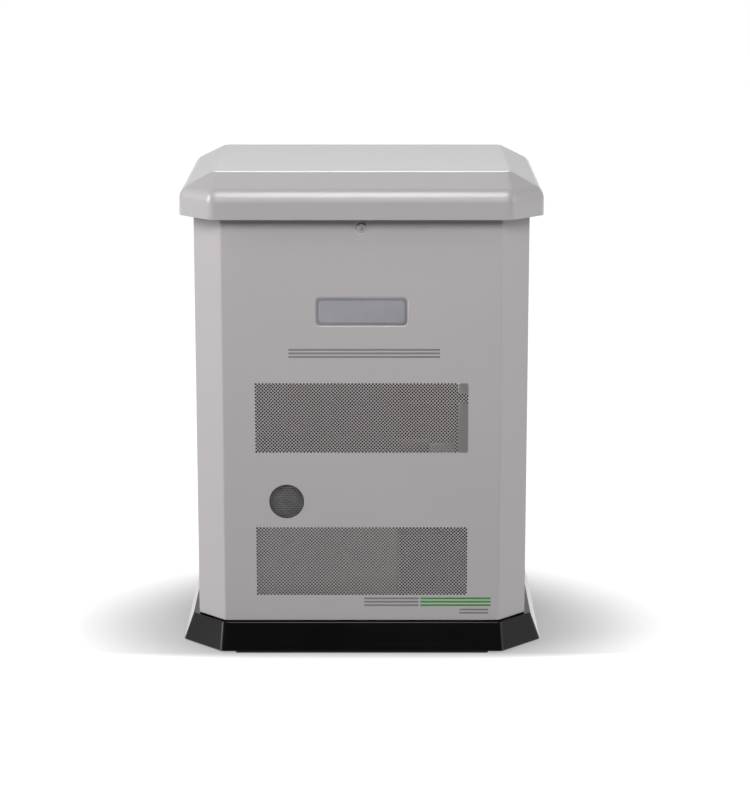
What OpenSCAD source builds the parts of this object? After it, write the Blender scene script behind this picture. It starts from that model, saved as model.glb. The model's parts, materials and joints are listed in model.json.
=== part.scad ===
// Home standby generator: a sheet-metal enclosure on a moulded base, with a hinged lid,
// a removable front panel and an air-cooled V-twin driving an alternator.
// Frame: X to the right, Y to the rear, Z up; the origin is at the bottom centre. Millimetres.

/* [Body] */
// Width of the sheet-metal body
body_w = 702; // [698:1:706]
// Depth of the body, front to rear
body_d = 570; // [566:1:574]
// Leg of the 45 degree corner facets of the body
body_chamfer = 59; // [57:1:61]
// Height of the body's top edge
body_top = 929; // [926:1:930]
// Thickness of every enclosure sheet
sheet = 2; // [1.6:0.2:2.2]

/* [Base] */
// Width of the base at the ground
base_w = 770; // [764:1:780]
// Depth of the base at the ground
base_d = 637; // [630:1:646]
// Leg of the base's corner facets at the ground
base_chamfer = 86; // [82:1:90]
// Height of the base
base_h = 60; // [60:1:62]
// Inward slope of the base from the ground to its top edge, per side
base_batter = 19.5; // [15:0.5:20]
// Height of the two foot rails under the base
foot_h = 3; // [2:0.5:4]
// Radius of the four anchor holes
anchor_r = 6; // [5:0.5:7]

/* [Lid] */
// Width of the lid over its skirt
lid_w = 760; // [756:1:764]
// Depth of the lid over its skirt
lid_d = 628; // [626:1:632]
// Leg of the lid's corner facets
lid_chamfer = 70; // [66:1:74]
// Height of the skirt's lower edge
lid_skirt_z = 931; // [931:1:932]
// Height of the bend between the skirt and the slopes
lid_bend_z = 973; // [970:1:976]
// Height of the lid's flat top
lid_top_z = 1020; // [1014:1:1026]
// Width of the lid's flat top
lid_flat_w = 620; // [600:1:640]
// Depth of the lid's flat top
lid_flat_d = 452; // [440:1:464]
// Angle that the lid opens
lid_open = 75; // [60:1:75]

/* [Front panel] */
// Width of each perforated field
vent_w = 456; // [440:1:470]
// Height of each perforated field
vent_h = 154; // [140:1:160]
// Height of the upper field's centre
upper_vent_z = 506.5; // [500:0.5:520]
// Height of the lower field's centre
lower_vent_z = 193.5; // [185:0.5:200]
// Radius of the exhaust outlet in the panel
outlet_r = 37; // [36.5:0.5:38]
// Distance of the exhaust outlet left of the centre
outlet_x = -159; // [-165:1:-150]
// Height of the exhaust outlet
outlet_z = 325; // [318:1:332]
// Height of the lock
lock_z = 911; // [910:0.5:912]

/* [Lid stay] */
// Distance from the lid hinge to the stay's pivot and to its stud
stay_r = 150; // [140:1:160]
// Angle of the stay's pivot above the hinge, lid shut
stay_pivot_angle = 4; // [3:0.5:5]
// Angle of the stud below the hinge
stay_stud_angle = 22; // [21:0.5:23]

/* [Engine] */
// Distance of the crank axis behind the centre
crank_y = 60; // [58:1:61]
// Height of the crank axis
crank_z = 255; // [255:1:256]
// Distance from the crank axis to each cylinder deck
deck_r = 90; // [90:1:91]
// Number of cooling fins on each barrel
barrel_fins = 8; // [5:1:9]

/* [Alternator] */
// Outer radius of the alternator frame
alternator_r = 118; // [115:1:118]
// Length of the alternator frame
alternator_len = 200; // [196:1:200]
// Radius of the rotor
rotor_r = 64; // [60:1:68]

/* [Battery] */
// Width of the battery
battery_w = 208; // [200:1:209]
// Depth of the battery
battery_d = 173; // [165:1:174]
// Height of the battery case
battery_h = 190; // [180:1:190]

/* [Console] */
// Slope of the control fascia
fascia_slope = 50; // [48:1:52]
// Length of the fascia up its slope
fascia_len = 140; // [138:1:142]

/* [Hidden] */
$fn = 64;

// Finishes
paint_grey = [0.68, 0.66, 0.66];
moulded_black = [0.06, 0.06, 0.06];
cast_aluminium = [0.66, 0.67, 0.68];
zinc_steel = [0.75, 0.76, 0.78];
dark_steel = [0.20, 0.20, 0.21];
engine_black = [0.11, 0.11, 0.12];
copper = [0.72, 0.43, 0.20];
gas_yellow = [0.85, 0.68, 0.15];

// Clearances
gap = 0.2;        // between neighbours in one body that are not in contact
running = 0.08;   // radial, of a shaft in its bore
over = 1;         // how far a cutter passes through a face
joint_bulge = 0.4;   // of the ball joints of a tube over the tube itself

// Enclosure
chamfer_inset = 2 - sqrt(2);   // loss of chamfer leg per millimetre of inset
front_y = -body_d/2;
rear_y = body_d/2;
side_x = body_w/2;
panel_split_y = body_d/2 - body_chamfer;   // where the wrapped panels end
wall_z = base_h + 3;
flange = 11;
post = 25;
post_x = 305;
post_y = 238;
rail_z = 862;
rail_h = 28;
anchor_x = 300;
anchor_y = 190;
vent_hex_r = 7.5;      // hexagonal openings stand for the fine perforation
vent_hex_pitch = 22;
side_vent_w = 340;

// Hinge of the lid
hinge_y = 300;
hinge_z = 935;
hinge_x = 220;
knuckle_r = 6;
pin_r = 2.5;
leaf_w = 80;
leaf_t = 3;

// Stay: pivot and stud are equally far from the hinge, so the bar turns half as fast as the lid
stay_x = -328;
stay_t = 3;
stay_pivot = [hinge_y - stay_r*cos(stay_pivot_angle), hinge_z + stay_r*sin(stay_pivot_angle)];
stay_stud_at = [hinge_y - stay_r*cos(stay_stud_angle), hinge_z - stay_r*sin(stay_stud_angle)];
stay_shut = 2*stay_r*sin((stay_pivot_angle + stay_stud_angle)/2);
stay_drawn = 2*stay_r*sin((stay_pivot_angle + stay_stud_angle + lid_open)/2);
stay_pin_r = 3;

// Lock
lock_plug_r = 6;
lock_body_r = 9.5;
lock_flange_r = 14;
lock_back_y = front_y + 26;
cam_reach = 34;
cam_t = 3;

// Engine
rail_offset = 85;         // of each engine rail from the crank axis
rail_w = 40;
rail_t = 25;
mount_h = 30;
engine_rail_z = base_h + mount_h;
case_x0 = -245;
case_x1 = -75;
case_half_w = 110;
starter_x1 = case_x0 + 135;
case_top_half_w = 10;
bank_x_front = -175;
bank_x_rear = -145;
barrel_len = 75;
head_half = 55;
head_h = 45;
head_r = deck_r + barrel_len;        // from the crank axis to the head's foot
cover_r = head_r + head_h;
cover_half = 45;
cover_h = 35;
journal_r = 17.4;
tail_shaft_r = 17;
nose_r = 15;
port_r = head_r + head_h/2;          // from the crank axis to the port centres
intake_x = (bank_x_front + bank_x_rear)/2;
port_drop = port_r/sqrt(2);
exhaust_pipe_r = 15;
rear_header_x = bank_x_rear + head_half + 18;

// Blower
blower_x0 = -335;
blower_r = 130;
blower_wall = 4;

// Alternator
alternator_x0 = -50;
alternator_x1 = alternator_x0 + alternator_len;
stator_r = 105;
stator_bore_r = 70;
bell_len = 55;

// Muffler
muffler_x0 = -235;
muffler_x1 = 75;
muffler_y0 = -262;
muffler_y1 = -170;
muffler_z0 = 110;
muffler_z1 = 368;
divider_y = -160;
divider_top = 640;
tail_r = 28;
guard_y = front_y + 5.5;
guard_t = 2.5;

// Air cleaner
cleaner_w = 170;
cleaner_d = 160;
cleaner_wall = 3;
mixer_z = 450;
cleaner_z = 490;
cleaner_h = 100;
cleaner_cover_h = 40;

// Fuel
gas_x = 262;
gas_z = 160;
gas_thread_r = 13.3;
valve_y = 240;            // middle of the shut-off valve
valve_half = 22;
regulator_r = 45;
regulator_y0 = 150;
regulator_y1 = 215;
hose_r = 11;

// Battery
battery_x0 = 80;
battery_y0 = -262;
terminal_y = -110;

// Console
console_x0 = 60;
console_y = -215;
console_rear_y = -50;
console_z = 640;
fascia_z = 735;
fascia_run = fascia_len*cos(fascia_slope);
fascia_rise = fascia_len*sin(fascia_slope);
button_x = [118, 158];
button_v = 32;
button_r = 8;
switch_x = 287;
switch_v = 38;
breaker_x = 287;
breaker_v = 105;
breaker_pivot_w = 10;

// Positions of the panel screws up each side and across the rear
screw_ys = [-200, 200];
screw_zs = [130 : 185 : 870];
rear_screw_xs = [-284, 284];
screw_shank_r = 2.5;

// ---- shared shapes -------------------------------------------------------------------

// Rectangle w by d with its corners cut at 45 degrees by c
module octagon(w, d, c) {
    polygon([[-w/2 + c, -d/2], [w/2 - c, -d/2], [w/2, -d/2 + c], [w/2, d/2 - c],
             [w/2 - c, d/2], [-w/2 + c, d/2], [-w/2, d/2 - c], [-w/2, -d/2 + c]]);
}

// Box from its lowest to its highest corner
module box(low, high) {
    translate(low) cube(high - low);
}

// Round bar along X, Y or Z
module bar_x(x0, x1, y, z, r) {
    translate([x0, y, z]) rotate([0, 90, 0]) cylinder(h = x1 - x0, r = r);
}
module bar_y(y0, y1, x, z, r) {
    translate([x, y0, z]) rotate([-90, 0, 0]) cylinder(h = y1 - y0, r = r);
}
module bar_z(z0, z1, x, y, r) {
    translate([x, y, z0]) cylinder(h = z1 - z0, r = r);
}

// Round tube or cable through a list of points, with ball joints at the bends
module run(points, r) {
    for (i = [0 : len(points) - 2]) {
        step = points[i + 1] - points[i];
        translate(points[i])
            rotate([0, acos(step[2]/norm(step)), atan2(step[1], step[0])])
                cylinder(h = norm(step), r = r);
    }
    for (i = [1 : 1 : len(points) - 2]) translate(points[i]) sphere(r = r + joint_bulge);
}

// Outline in Y and Z carried along X
module along_x(x0, x1) {
    translate([x0, 0, 0]) rotate([90, 0, 90]) linear_extrude(x1 - x0) children();
}

// Flat bar with round ends, from the origin along its own X
module link_outline(x0, x1, r) {
    translate([x0, 0]) circle(r = r);
    translate([x1, 0]) circle(r = r);
    translate([x0, -r]) square([x1 - x0, 2*r]);
}

// The body's wall between two heights
module body_wall(z0, z1) {
    translate([0, 0, z0]) linear_extrude(z1 - z0) difference() {
        octagon(body_w, body_d, body_chamfer);
        octagon(body_w - 2*sheet, body_d - 2*sheet, body_chamfer - chamfer_inset*sheet);
    }
}

// Perforated plate in X and Z, its front face at y = 0, centred
module grille(w, h) {
    columns = floor((w - 16)/vent_hex_pitch);
    rows = floor((h - 16)/vent_hex_pitch);
    difference() {
        translate([-w/2, 0, -h/2]) cube([w, sheet, h]);
        for (i = [0 : columns - 1], j = [0 : rows - 1])
            translate([(i - (columns - 1)/2)*vent_hex_pitch, -over,
                       (j - (rows - 1)/2)*vent_hex_pitch])
                rotate([-90, 0, 0]) cylinder(h = sheet + 2*over, r = vent_hex_r, $fn = 6);
    }
}

// Places its children on a cylinder bank: local +Z runs out along the bore
module on_bank(x, side) {
    translate([x, crank_y, crank_z]) rotate([-45*side, 0, 0]) children();
}

// Places its children on the control fascia: local X across, Y up the slope, Z outwards
module on_fascia(x, v) {
    translate([0, console_y, fascia_z]) rotate([fascia_slope, 0, 0])
        translate([x, v, 0]) children();
}

// ---- enclosure -----------------------------------------------------------------------

module base_pan() {
    deck = 12;
    pocket = 88;
    pitch = 100;
    edge = 2;
    boss_r = 18;
    foot_half = 270;
    foot_depth = 60;
    foot_y = base_d/2 - 1 - foot_depth/2;
    chamfer_loss = 17;
    top_w = base_w - 2*base_batter;
    top_d = base_d - 2*base_batter;
    color(moulded_black) difference() {
        union() {
            difference() {
                hull() {
                    translate([0, 0, foot_h]) linear_extrude(edge)
                        octagon(base_w, base_d, base_chamfer);
                    translate([0, 0, base_h - edge]) linear_extrude(edge)
                        octagon(top_w, top_d, base_chamfer - chamfer_loss);
                }
                for (i = [-3 : 3], j = [-2 : 2])
                    translate([i*pitch - pocket/2, j*pitch - pocket/2, -over])
                        cube([pocket, pocket, base_h - deck + over]);
            }
            for (side = [-1, 1])
                translate([-foot_half, side*foot_y - foot_depth/2, 0])
                    cube([2*foot_half, foot_depth, foot_h + over]);
            for (sx = [-1, 1], sy = [-1, 1])
                bar_z(foot_h, base_h - over, sx*anchor_x, sy*anchor_y, boss_r);
        }
        for (sx = [-1, 1], sy = [-1, 1])
            bar_z(-over, base_h + over, sx*anchor_x, sy*anchor_y, anchor_r);
    }
}

module side_panel(side) {
    flange_y0 = divider_y + 10;
    flange_y1 = panel_split_y - 30;
    flange_x = side*(side_x - sheet - flange/2);
    color(paint_grey) difference() {
        union() {
            intersection() {
                body_wall(wall_z, body_top);
                box([side*side_x/2 - side_x/2 - over, -panel_split_y + gap, 0],
                    [side*side_x/2 + side_x/2 + over, panel_split_y - gap, lid_top_z]);
            }
            box([flange_x - flange/2, flange_y0, wall_z],
                [flange_x + flange/2, flange_y1, wall_z + sheet]);
        }
        box([side*side_x - 4*sheet, -side_vent_w/2, upper_vent_z - vent_h/2],
            [side*side_x + 4*sheet, side_vent_w/2, upper_vent_z + vent_h/2]);
        for (y = screw_ys, z = screw_zs)
            bar_x(side*side_x - 4*sheet, side*side_x + 4*sheet, y, z, screw_shank_r + gap);
    }
}

module side_panel_left() {
    side_panel(-1);
}

module side_panel_right() {
    side_panel(1);
}

module rear_panel() {
    conduit_r = 22.2;
    pipe_hole_r = 17.2;
    flange_half = body_w/2 - body_chamfer - 10;
    color(paint_grey) difference() {
        union() {
            intersection() {
                body_wall(wall_z, body_top);
                box([-side_x - over, panel_split_y, 0], [side_x + over, rear_y + over, lid_top_z]);
            }
            box([-flange_half, rear_y - sheet - flange, wall_z],
                [flange_half, rear_y - sheet, wall_z + sheet]);
        }
        box([-vent_w/2, rear_y - 4*sheet, upper_vent_z - vent_h/2],
            [vent_w/2, rear_y + over, upper_vent_z + vent_h/2]);
        bar_y(rear_y - 4*sheet, rear_y + over, gas_x, gas_z, pipe_hole_r);
        bar_y(rear_y - 4*sheet, rear_y + over, -gas_x, gas_z, conduit_r);
        for (x = rear_screw_xs, z = screw_zs)
            bar_y(rear_y - 4*sheet, rear_y + over, x, z, screw_shank_r + gap);
    }
}

module body_vents() {
    color(paint_grey) {
        translate([0, rear_y - sheet, upper_vent_z]) grille(vent_w, vent_h);
        for (side = [-1, 1])
            translate([side*(side_x - sheet/2) - sheet/2, 0, upper_vent_z])
                rotate([0, 0, -90]) grille(side_vent_w, vent_h);
    }
}

module corner_posts() {
    color(zinc_steel)
        for (sx = [-1, 1], sy = [-1, 1])
            translate([sx*post_x - post/2, sy*post_y - post/2, base_h])
                cube([post, post, rail_z - base_h]);
}

module top_frame() {
    inner_x = post_x - post/2;
    keeper_y = front_y + 22;
    keeper_t = 2.5;
    keeper_half = 22;
    keeper_z0 = rail_z + 4;
    keeper_z1 = lock_z - 12;
    color(zinc_steel) {
        for (sx = [-1, 1])
            translate([sx*post_x - post/2, -post_y - post/2, rail_z])
                cube([post, 2*post_y + post, rail_h]);
        for (sy = [-1, 1])
            translate([-inner_x + gap, sy*post_y - post/2, rail_z])
                cube([2*inner_x - 2*gap, post, rail_h]);
        box([-keeper_half, keeper_y, keeper_z0], [keeper_half, keeper_y + keeper_t, keeper_z1]);
        box([-keeper_half, keeper_y, keeper_z0],
            [keeper_half, -post_y - post/2 + over, keeper_z0 + keeper_t]);
    }
}

module divider_wall() {
    color(dark_steel) difference() {
        box([-side_x + sheet, divider_y, base_h], [muffler_x1, divider_y + sheet, divider_top]);
        bar_y(divider_y - over, divider_y + sheet + over, bank_x_front,
              crank_z + port_drop - head_half/sqrt(2), exhaust_pipe_r + 2);
        bar_y(divider_y - over, divider_y + sheet + over, rear_header_x,
              crank_z + port_drop, exhaust_pipe_r + 2);
    }
}

module hinge_frame_leaves() {
    knuckle_inner = 14;
    color(zinc_steel)
        for (sx = [-1, 1]) translate([sx*hinge_x, 0, 0]) {
            difference() {
                union() {
                    box([-leaf_w/2, rear_y, hinge_z - 50], [leaf_w/2, rear_y + leaf_t, hinge_z - 4]);
                    for (end = [-1, 1]) {
                        mid = end*(leaf_w/2 + knuckle_inner)/2;
                        half = (leaf_w/2 - knuckle_inner)/2;
                        bar_x(mid - half, mid + half, hinge_y, hinge_z, knuckle_r);
                        box([mid - half, rear_y, hinge_z - 9], [mid + half, hinge_y, hinge_z - 4]);
                    }
                }
                bar_x(-leaf_w, leaf_w, hinge_y, hinge_z, pin_r + 0.02);
            }
        }
}

module hinge_pins() {
    color(dark_steel)
        for (sx = [-1, 1])
            bar_x(sx*hinge_x - leaf_w/2 - 2, sx*hinge_x + leaf_w/2 + 2, hinge_y, hinge_z, pin_r);
}

module hinge_lid_leaves() {
    knuckle_half = 13.5;
    skirt_y = lid_d/2 - sheet;
    color(zinc_steel)
        for (sx = [-1, 1]) translate([sx*hinge_x, 0, 0])
            difference() {
                union() {
                    box([-leaf_w/2, skirt_y - leaf_t, hinge_z + 1], [leaf_w/2, skirt_y, lid_bend_z - 3]);
                    bar_x(-knuckle_half, knuckle_half, hinge_y, hinge_z, knuckle_r);
                    box([-knuckle_half, hinge_y, hinge_z + 1], [knuckle_half, skirt_y, hinge_z + 6]);
                }
                bar_x(-leaf_w, leaf_w, hinge_y, hinge_z, pin_r + running);
            }
}

module enclosure_screws() {
    head_r = 6;
    head_h = 3;
    color(zinc_steel) {
        for (side = [-1, 1], y = screw_ys, z = screw_zs)
            translate([side*(side_x - sheet), y, z]) rotate([0, side*90, 0]) {
                cylinder(h = sheet + head_h, r = screw_shank_r);
                translate([0, 0, sheet]) cylinder(h = head_h, r = head_r);
            }
        for (x = rear_screw_xs, z = screw_zs) {
            bar_y(rear_y - sheet, rear_y + head_h, x, z, screw_shank_r);
            bar_y(rear_y, rear_y + head_h, x, z, head_r);
        }
    }
}

// Outer or inner form of the lid: a skirt and four slopes up to a flat rectangle
module lid_form(inset, drop) {
    w = lid_w - 2*inset;
    d = lid_d - 2*inset;
    c = lid_chamfer - chamfer_inset*inset;
    thin = 0.5;
    translate([0, 0, lid_skirt_z - drop]) linear_extrude(lid_bend_z - lid_skirt_z + drop)
        octagon(w, d, c);
    hull() {
        translate([0, 0, lid_bend_z - thin]) linear_extrude(thin) octagon(w, d, c);
        translate([-lid_flat_w/2 + inset, -lid_flat_d/2 + inset, lid_top_z - inset - thin])
            cube([lid_flat_w - 2*inset, lid_flat_d - 2*inset, thin]);
    }
}

module lid() {
    tab_half = 10;
    tab_x = stay_x - 4;
    color(paint_grey) difference() {
        union() {
            difference() {
                lid_form(0, 0);
                lid_form(sheet, over);
            }
            intersection() {
                lid_form(sheet/2, 0);
                box([tab_x, stay_pivot[0] - tab_half, stay_pivot[1] - tab_half],
                    [tab_x + stay_t, stay_pivot[0] + tab_half, lid_top_z]);
            }
        }
        bar_x(tab_x - over, tab_x + stay_t + over, stay_pivot[0], stay_pivot[1],
              stay_pin_r + running);
    }
}

module lid_liner() {
    liner_t = 10;
    color(engine_black)
        translate([-lid_flat_w/2 + 30, -lid_flat_d/2 + 26, lid_top_z - sheet - liner_t])
            cube([lid_flat_w - 60, lid_flat_d - 52, liner_t]);
}

module stay_stud() {
    rail_face = -post_x - post/2;
    color(zinc_steel) {
        bar_x(stay_x - 3, rail_face, stay_stud_at[0], stay_stud_at[1], stay_pin_r);
        bar_x(stay_x + stay_t + 0.5, rail_face, stay_stud_at[0], stay_stud_at[1], 2*stay_pin_r);
        bar_x(stay_x - 3, stay_x - 0.5, stay_stud_at[0], stay_stud_at[1], 2*stay_pin_r);
    }
}

module lid_stay() {
    half_w = 8;
    end_margin = 14;
    aim = atan2(stay_stud_at[1] - stay_pivot[1], stay_stud_at[0] - stay_pivot[0]);
    color(zinc_steel) {
        translate([0, stay_pivot[0], stay_pivot[1]]) along_x(stay_x, stay_x + stay_t)
            rotate(aim) difference() {
                link_outline(0, stay_drawn + end_margin, half_w);
                link_outline(stay_shut - 1, stay_drawn + 1, stay_pin_r + running);
            }
        bar_x(stay_x - 5, stay_x + stay_t, stay_pivot[0], stay_pivot[1], stay_pin_r);
    }
}

// ---- front panel and lock ------------------------------------------------------------

module front_panel() {
    flat_half = body_w/2 - body_chamfer;
    badge_w = 198;
    badge_h = 92;
    badge_z = 734;
    badge_depth = 0.8;
    color(paint_grey) difference() {
        union() {
            intersection() {
                body_wall(wall_z, body_top);
                box([-side_x - over, front_y - over, 0], [side_x + over, -panel_split_y, lid_top_z]);
            }
            for (z = [wall_z, body_top - sheet])
                box([-flat_half + 10, front_y + sheet, z],
                    [flat_half - 10, front_y + sheet + flange, z + sheet]);
        }
        for (z = [lower_vent_z, upper_vent_z])
            box([-vent_w/2, front_y - over, z - vent_h/2], [vent_w/2, front_y + 4*sheet, z + vent_h/2]);
        bar_y(front_y - over, front_y + 4*sheet, outlet_x, outlet_z, outlet_r);
        bar_y(front_y - over, front_y + 4*sheet, 0, lock_z, lock_body_r + gap);
        box([-badge_w/2, front_y - over, badge_z - badge_h/2],
            [badge_w/2, front_y + badge_depth, badge_z + badge_h/2]);
    }
}

module front_vents() {
    color(paint_grey)
        for (z = [lower_vent_z, upper_vent_z])
            translate([0, front_y, z]) grille(vent_w, vent_h);
}

module lock_barrel() {
    color(zinc_steel) difference() {
        union() {
            bar_y(front_y - 3, front_y, 0, lock_z, lock_flange_r);
            bar_y(front_y - 3, lock_back_y, 0, lock_z, lock_body_r);
        }
        bar_y(front_y - 2*lock_flange_r, lock_back_y + over, 0, lock_z, lock_plug_r + running);
    }
}

module lock_cam() {
    slot_w = 1.6;
    slot_len = 8;
    color(zinc_steel) difference() {
        union() {
            bar_y(front_y - 2.6, lock_back_y + cam_t + 0.5, 0, lock_z, lock_plug_r);
            translate([0, lock_back_y + 0.5 + cam_t, lock_z]) rotate([90, 0, 0])
                linear_extrude(cam_t) link_outline(0, cam_reach - 7, 7);
        }
        box([-slot_w/2, front_y - 4, lock_z - slot_len/2], [slot_w/2, front_y + 4, lock_z + slot_len/2]);
    }
}

// ---- engine --------------------------------------------------------------------------

module engine_rails() {
    color(dark_steel)
        for (side = [-1, 1])
            box([case_x0 + 10, crank_y + side*rail_offset - rail_w/2, engine_rail_z],
                [alternator_x1 + 15, crank_y + side*rail_offset + rail_w/2, engine_rail_z + rail_t]);
}

module vibration_mounts() {
    mount_r = 19;
    color(engine_black)
        for (x = [-200, 130], side = [-1, 1])
            bar_z(base_h, engine_rail_z, x, crank_y + side*rail_offset, mount_r);
}

module crankcase() {
    foot_drop = crank_z - engine_rail_z - rail_t;
    skirt_z = -100;
    shoulder = deck_r*sqrt(2) - case_half_w;
    crown = deck_r*sqrt(2) - case_top_half_w;
    cavity_r = 62;
    wall = 15;
    color(cast_aluminium) difference() {
        translate([0, crank_y, crank_z]) along_x(case_x0, case_x1)
            polygon([[-95, -foot_drop], [95, -foot_drop], [case_half_w, skirt_z],
                     [case_half_w, shoulder], [case_top_half_w, crown],
                     [-case_top_half_w, crown], [-case_half_w, shoulder],
                     [-case_half_w, skirt_z]]);
        bar_x(case_x0 + wall, case_x1 - wall, crank_y, crank_z, cavity_r);
        bar_x(case_x0 - over, case_x1 + over, crank_y, crank_z, journal_r + running);
    }
}

// Finned barrel with its finned head
module bank() {
    barrel_r = 42;
    fin_r = 54;
    fin_t = 2.5;
    fin_pitch = 8;
    core_half = 47;
    plate_t = 4;
    translate([0, 0, deck_r]) cylinder(h = barrel_len + over, r = barrel_r);
    for (i = [0 : barrel_fins - 1])
        translate([0, 0, deck_r + 6 + i*fin_pitch]) cylinder(h = fin_t, r = fin_r);
    box([-core_half, -core_half, head_r], [core_half, core_half, cover_r]);
    for (i = [0 : 4])
        translate([-head_half, -head_half, head_r + i*(head_h - plate_t)/4])
            cube([2*head_half, 2*head_half, plate_t]);
    // port flanges on the two lateral faces and the outer face, and the plug seat
    box([-25, -head_half, head_r], [25, head_half, cover_r]);
    box([-head_half, -25, head_r], [head_half, 25, cover_r]);
}

module cylinder_front() {
    color(cast_aluminium) on_bank(bank_x_front, -1) bank();
}

module cylinder_rear() {
    color(cast_aluminium) on_bank(bank_x_rear, 1) bank();
}

module valve_covers() {
    rim = 5;
    rim_t = 5;
    for (side = [-1, 1])
        color(engine_black) on_bank(side < 0 ? bank_x_front : bank_x_rear, side) {
            box([-cover_half, -cover_half, cover_r], [cover_half, cover_half, cover_r + cover_h]);
            box([-cover_half - rim, -cover_half - rim, cover_r],
                [cover_half + rim, cover_half + rim, cover_r + rim_t]);
        }
}

module spark_plugs() {
    color("white")
        for (side = [-1, 1])
            on_bank(side < 0 ? bank_x_front : bank_x_rear, side)
                translate([-head_half, 0, port_r]) rotate([0, -90, 0]) {
                    cylinder(h = 10, r = 9, $fn = 6);
                    cylinder(h = 30, r = 6);
                }
}

module oil_filter() {
    color("orange") bar_y(crank_y + case_half_w, crank_y + case_half_w + 75, intake_x, 200, 34);
}

module oil_cap() {
    cap_r = 18;
    cap_h = 14;
    color(gas_yellow) on_bank(bank_x_rear, 1) translate([0, 0, cover_r + cover_h + 0.3]) {
        cylinder(h = 4, r = cap_r - 4);
        translate([0, 0, 4]) cylinder(h = cap_h - 4, r = cap_r);
        translate([-3, -cap_r + 2, cap_h]) cube([6, 2*cap_r - 4, 5]);
    }
}

module starter_motor() {
    starter_r = 33;
    starter_y = -92;
    starter_z = 170;
    starter_x0 = case_x0 + 5;
    bracket_half = 15;
    color(engine_black) {
        bar_x(starter_x0, starter_x1, starter_y, starter_z, starter_r);
        box([starter_x0 + 20, starter_y + 20, starter_z - bracket_half],
            [starter_x1 - 20, crank_y - case_half_w, starter_z + bracket_half]);
    }
}

module blower_housing() {
    intake_r = 75;
    color(engine_black) difference() {
        bar_x(blower_x0, case_x0, crank_y, crank_z, blower_r);
        bar_x(blower_x0 + blower_wall, case_x0 - blower_wall, crank_y, crank_z,
              blower_r - blower_wall);
        bar_x(blower_x0 - over, case_x0 - 20, crank_y, crank_z, intake_r);
        bar_x(case_x0 - 20, case_x0 + over, crank_y, crank_z, 60);
    }
}

module flywheel() {
    disc_x = -300;
    disc_t = 12;
    disc_r = 100;
    blade_r = 108;
    blade_hub = 60;
    blades = 16;
    color(cast_aluminium) difference() {
        union() {
            bar_x(disc_x, disc_x + disc_t, crank_y, crank_z, disc_r);
            bar_x(disc_x - 20, disc_x + 30, crank_y, crank_z, 28);
            for (i = [0 : blades - 1])
                translate([disc_x - 18, crank_y, crank_z]) rotate([i*360/blades, 0, 0])
                    translate([0, -2, blade_hub]) cube([18.5, 4, blade_r - blade_hub - 10]);
        }
        bar_x(disc_x - 50, disc_x + 50, crank_y, crank_z, nose_r + 0.02);
    }
}

module crankshaft() {
    throw = 28;
    web_r = 50;
    web_t = 16;
    pin_radius = 16;
    web_x = [-212, -124];
    tail_x1 = alternator_x1 + bell_len - 2;
    color(dark_steel) {
        bar_x(blower_x0 + 13, case_x0 - 2, crank_y, crank_z, nose_r);
        bar_x(case_x0 - 3, web_x[0] + over, crank_y, crank_z, journal_r);
        for (x = web_x) bar_x(x, x + web_t, crank_y, crank_z, web_r);
        bar_x(web_x[0], web_x[1] + over, crank_y, crank_z + throw, pin_radius);
        bar_x(web_x[1] + web_t - over, case_x1 + 3, crank_y, crank_z, journal_r);
        bar_x(case_x1 + 2, tail_x1, crank_y, crank_z, tail_shaft_r);
    }
}

module intake_manifold() {
    tube_r = 18;
    z = crank_z + port_drop + head_half/sqrt(2);
    color(cast_aluminium) difference() {
        union() {
            bar_y(crank_y - port_drop, crank_y + port_drop, intake_x, z, tube_r);
            bar_z(z, mixer_z, intake_x, crank_y, tube_r + 4);
        }
        on_bank(intake_x, -1) box([-50, -200, 0], [50, head_half, 300]);
        on_bank(intake_x, 1) box([-50, -head_half, 0], [50, 200, 300]);
    }
}

module fuel_mixer() {
    half = 35;
    color(cast_aluminium)
        box([intake_x - half, crank_y - half, mixer_z], [intake_x + half, crank_y + half, cleaner_z]);
}

module air_cleaner_box() {
    stud_r = 4;
    color(engine_black) {
        difference() {
            translate([intake_x - cleaner_w/2, crank_y - cleaner_d/2, cleaner_z])
                cube([cleaner_w, cleaner_d, cleaner_h]);
            translate([intake_x - cleaner_w/2 + cleaner_wall, crank_y - cleaner_d/2 + cleaner_wall,
                       cleaner_z + cleaner_wall])
                cube([cleaner_w - 2*cleaner_wall, cleaner_d - 2*cleaner_wall, cleaner_h]);
        }
        bar_z(cleaner_z + over, cleaner_z + cleaner_h + cleaner_cover_h + 18, intake_x, crank_y, stud_r);
    }
}

module air_filter() {
    margin = 9;
    color("white") difference() {
        translate([intake_x - cleaner_w/2 + margin, crank_y - cleaner_d/2 + margin, cleaner_z + 3])
            cube([cleaner_w - 2*margin, cleaner_d - 2*margin, cleaner_h - 10]);
        bar_z(cleaner_z, cleaner_z + cleaner_h, intake_x, crank_y, 8);
    }
}

module air_cleaner_cover() {
    z0 = cleaner_z + cleaner_h;
    color(engine_black) difference() {
        translate([intake_x - cleaner_w/2, crank_y - cleaner_d/2, z0])
            cube([cleaner_w, cleaner_d, cleaner_cover_h]);
        translate([intake_x - cleaner_w/2 + cleaner_wall, crank_y - cleaner_d/2 + cleaner_wall, z0 - over])
            cube([cleaner_w - 2*cleaner_wall, cleaner_d - 2*cleaner_wall,
                  cleaner_cover_h - cleaner_wall + over]);
        bar_z(z0, z0 + cleaner_cover_h + over, intake_x, crank_y, 5);
    }
}

module air_cleaner_knob() {
    knob_r = 20;
    lobes = 6;
    z0 = cleaner_z + cleaner_h + cleaner_cover_h + 0.3;
    color(moulded_black) difference() {
        union() {
            bar_z(z0, z0 + 22, intake_x, crank_y, knob_r - 4);
            for (i = [0 : lobes - 1])
                translate([intake_x, crank_y, z0 + 6]) rotate(i*360/lobes)
                    translate([knob_r - 6, 0, 0]) cylinder(h = 14, r = 5);
        }
        bar_z(z0 - over, z0 + 18.5, intake_x, crank_y, 4 + running);
    }
}

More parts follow.
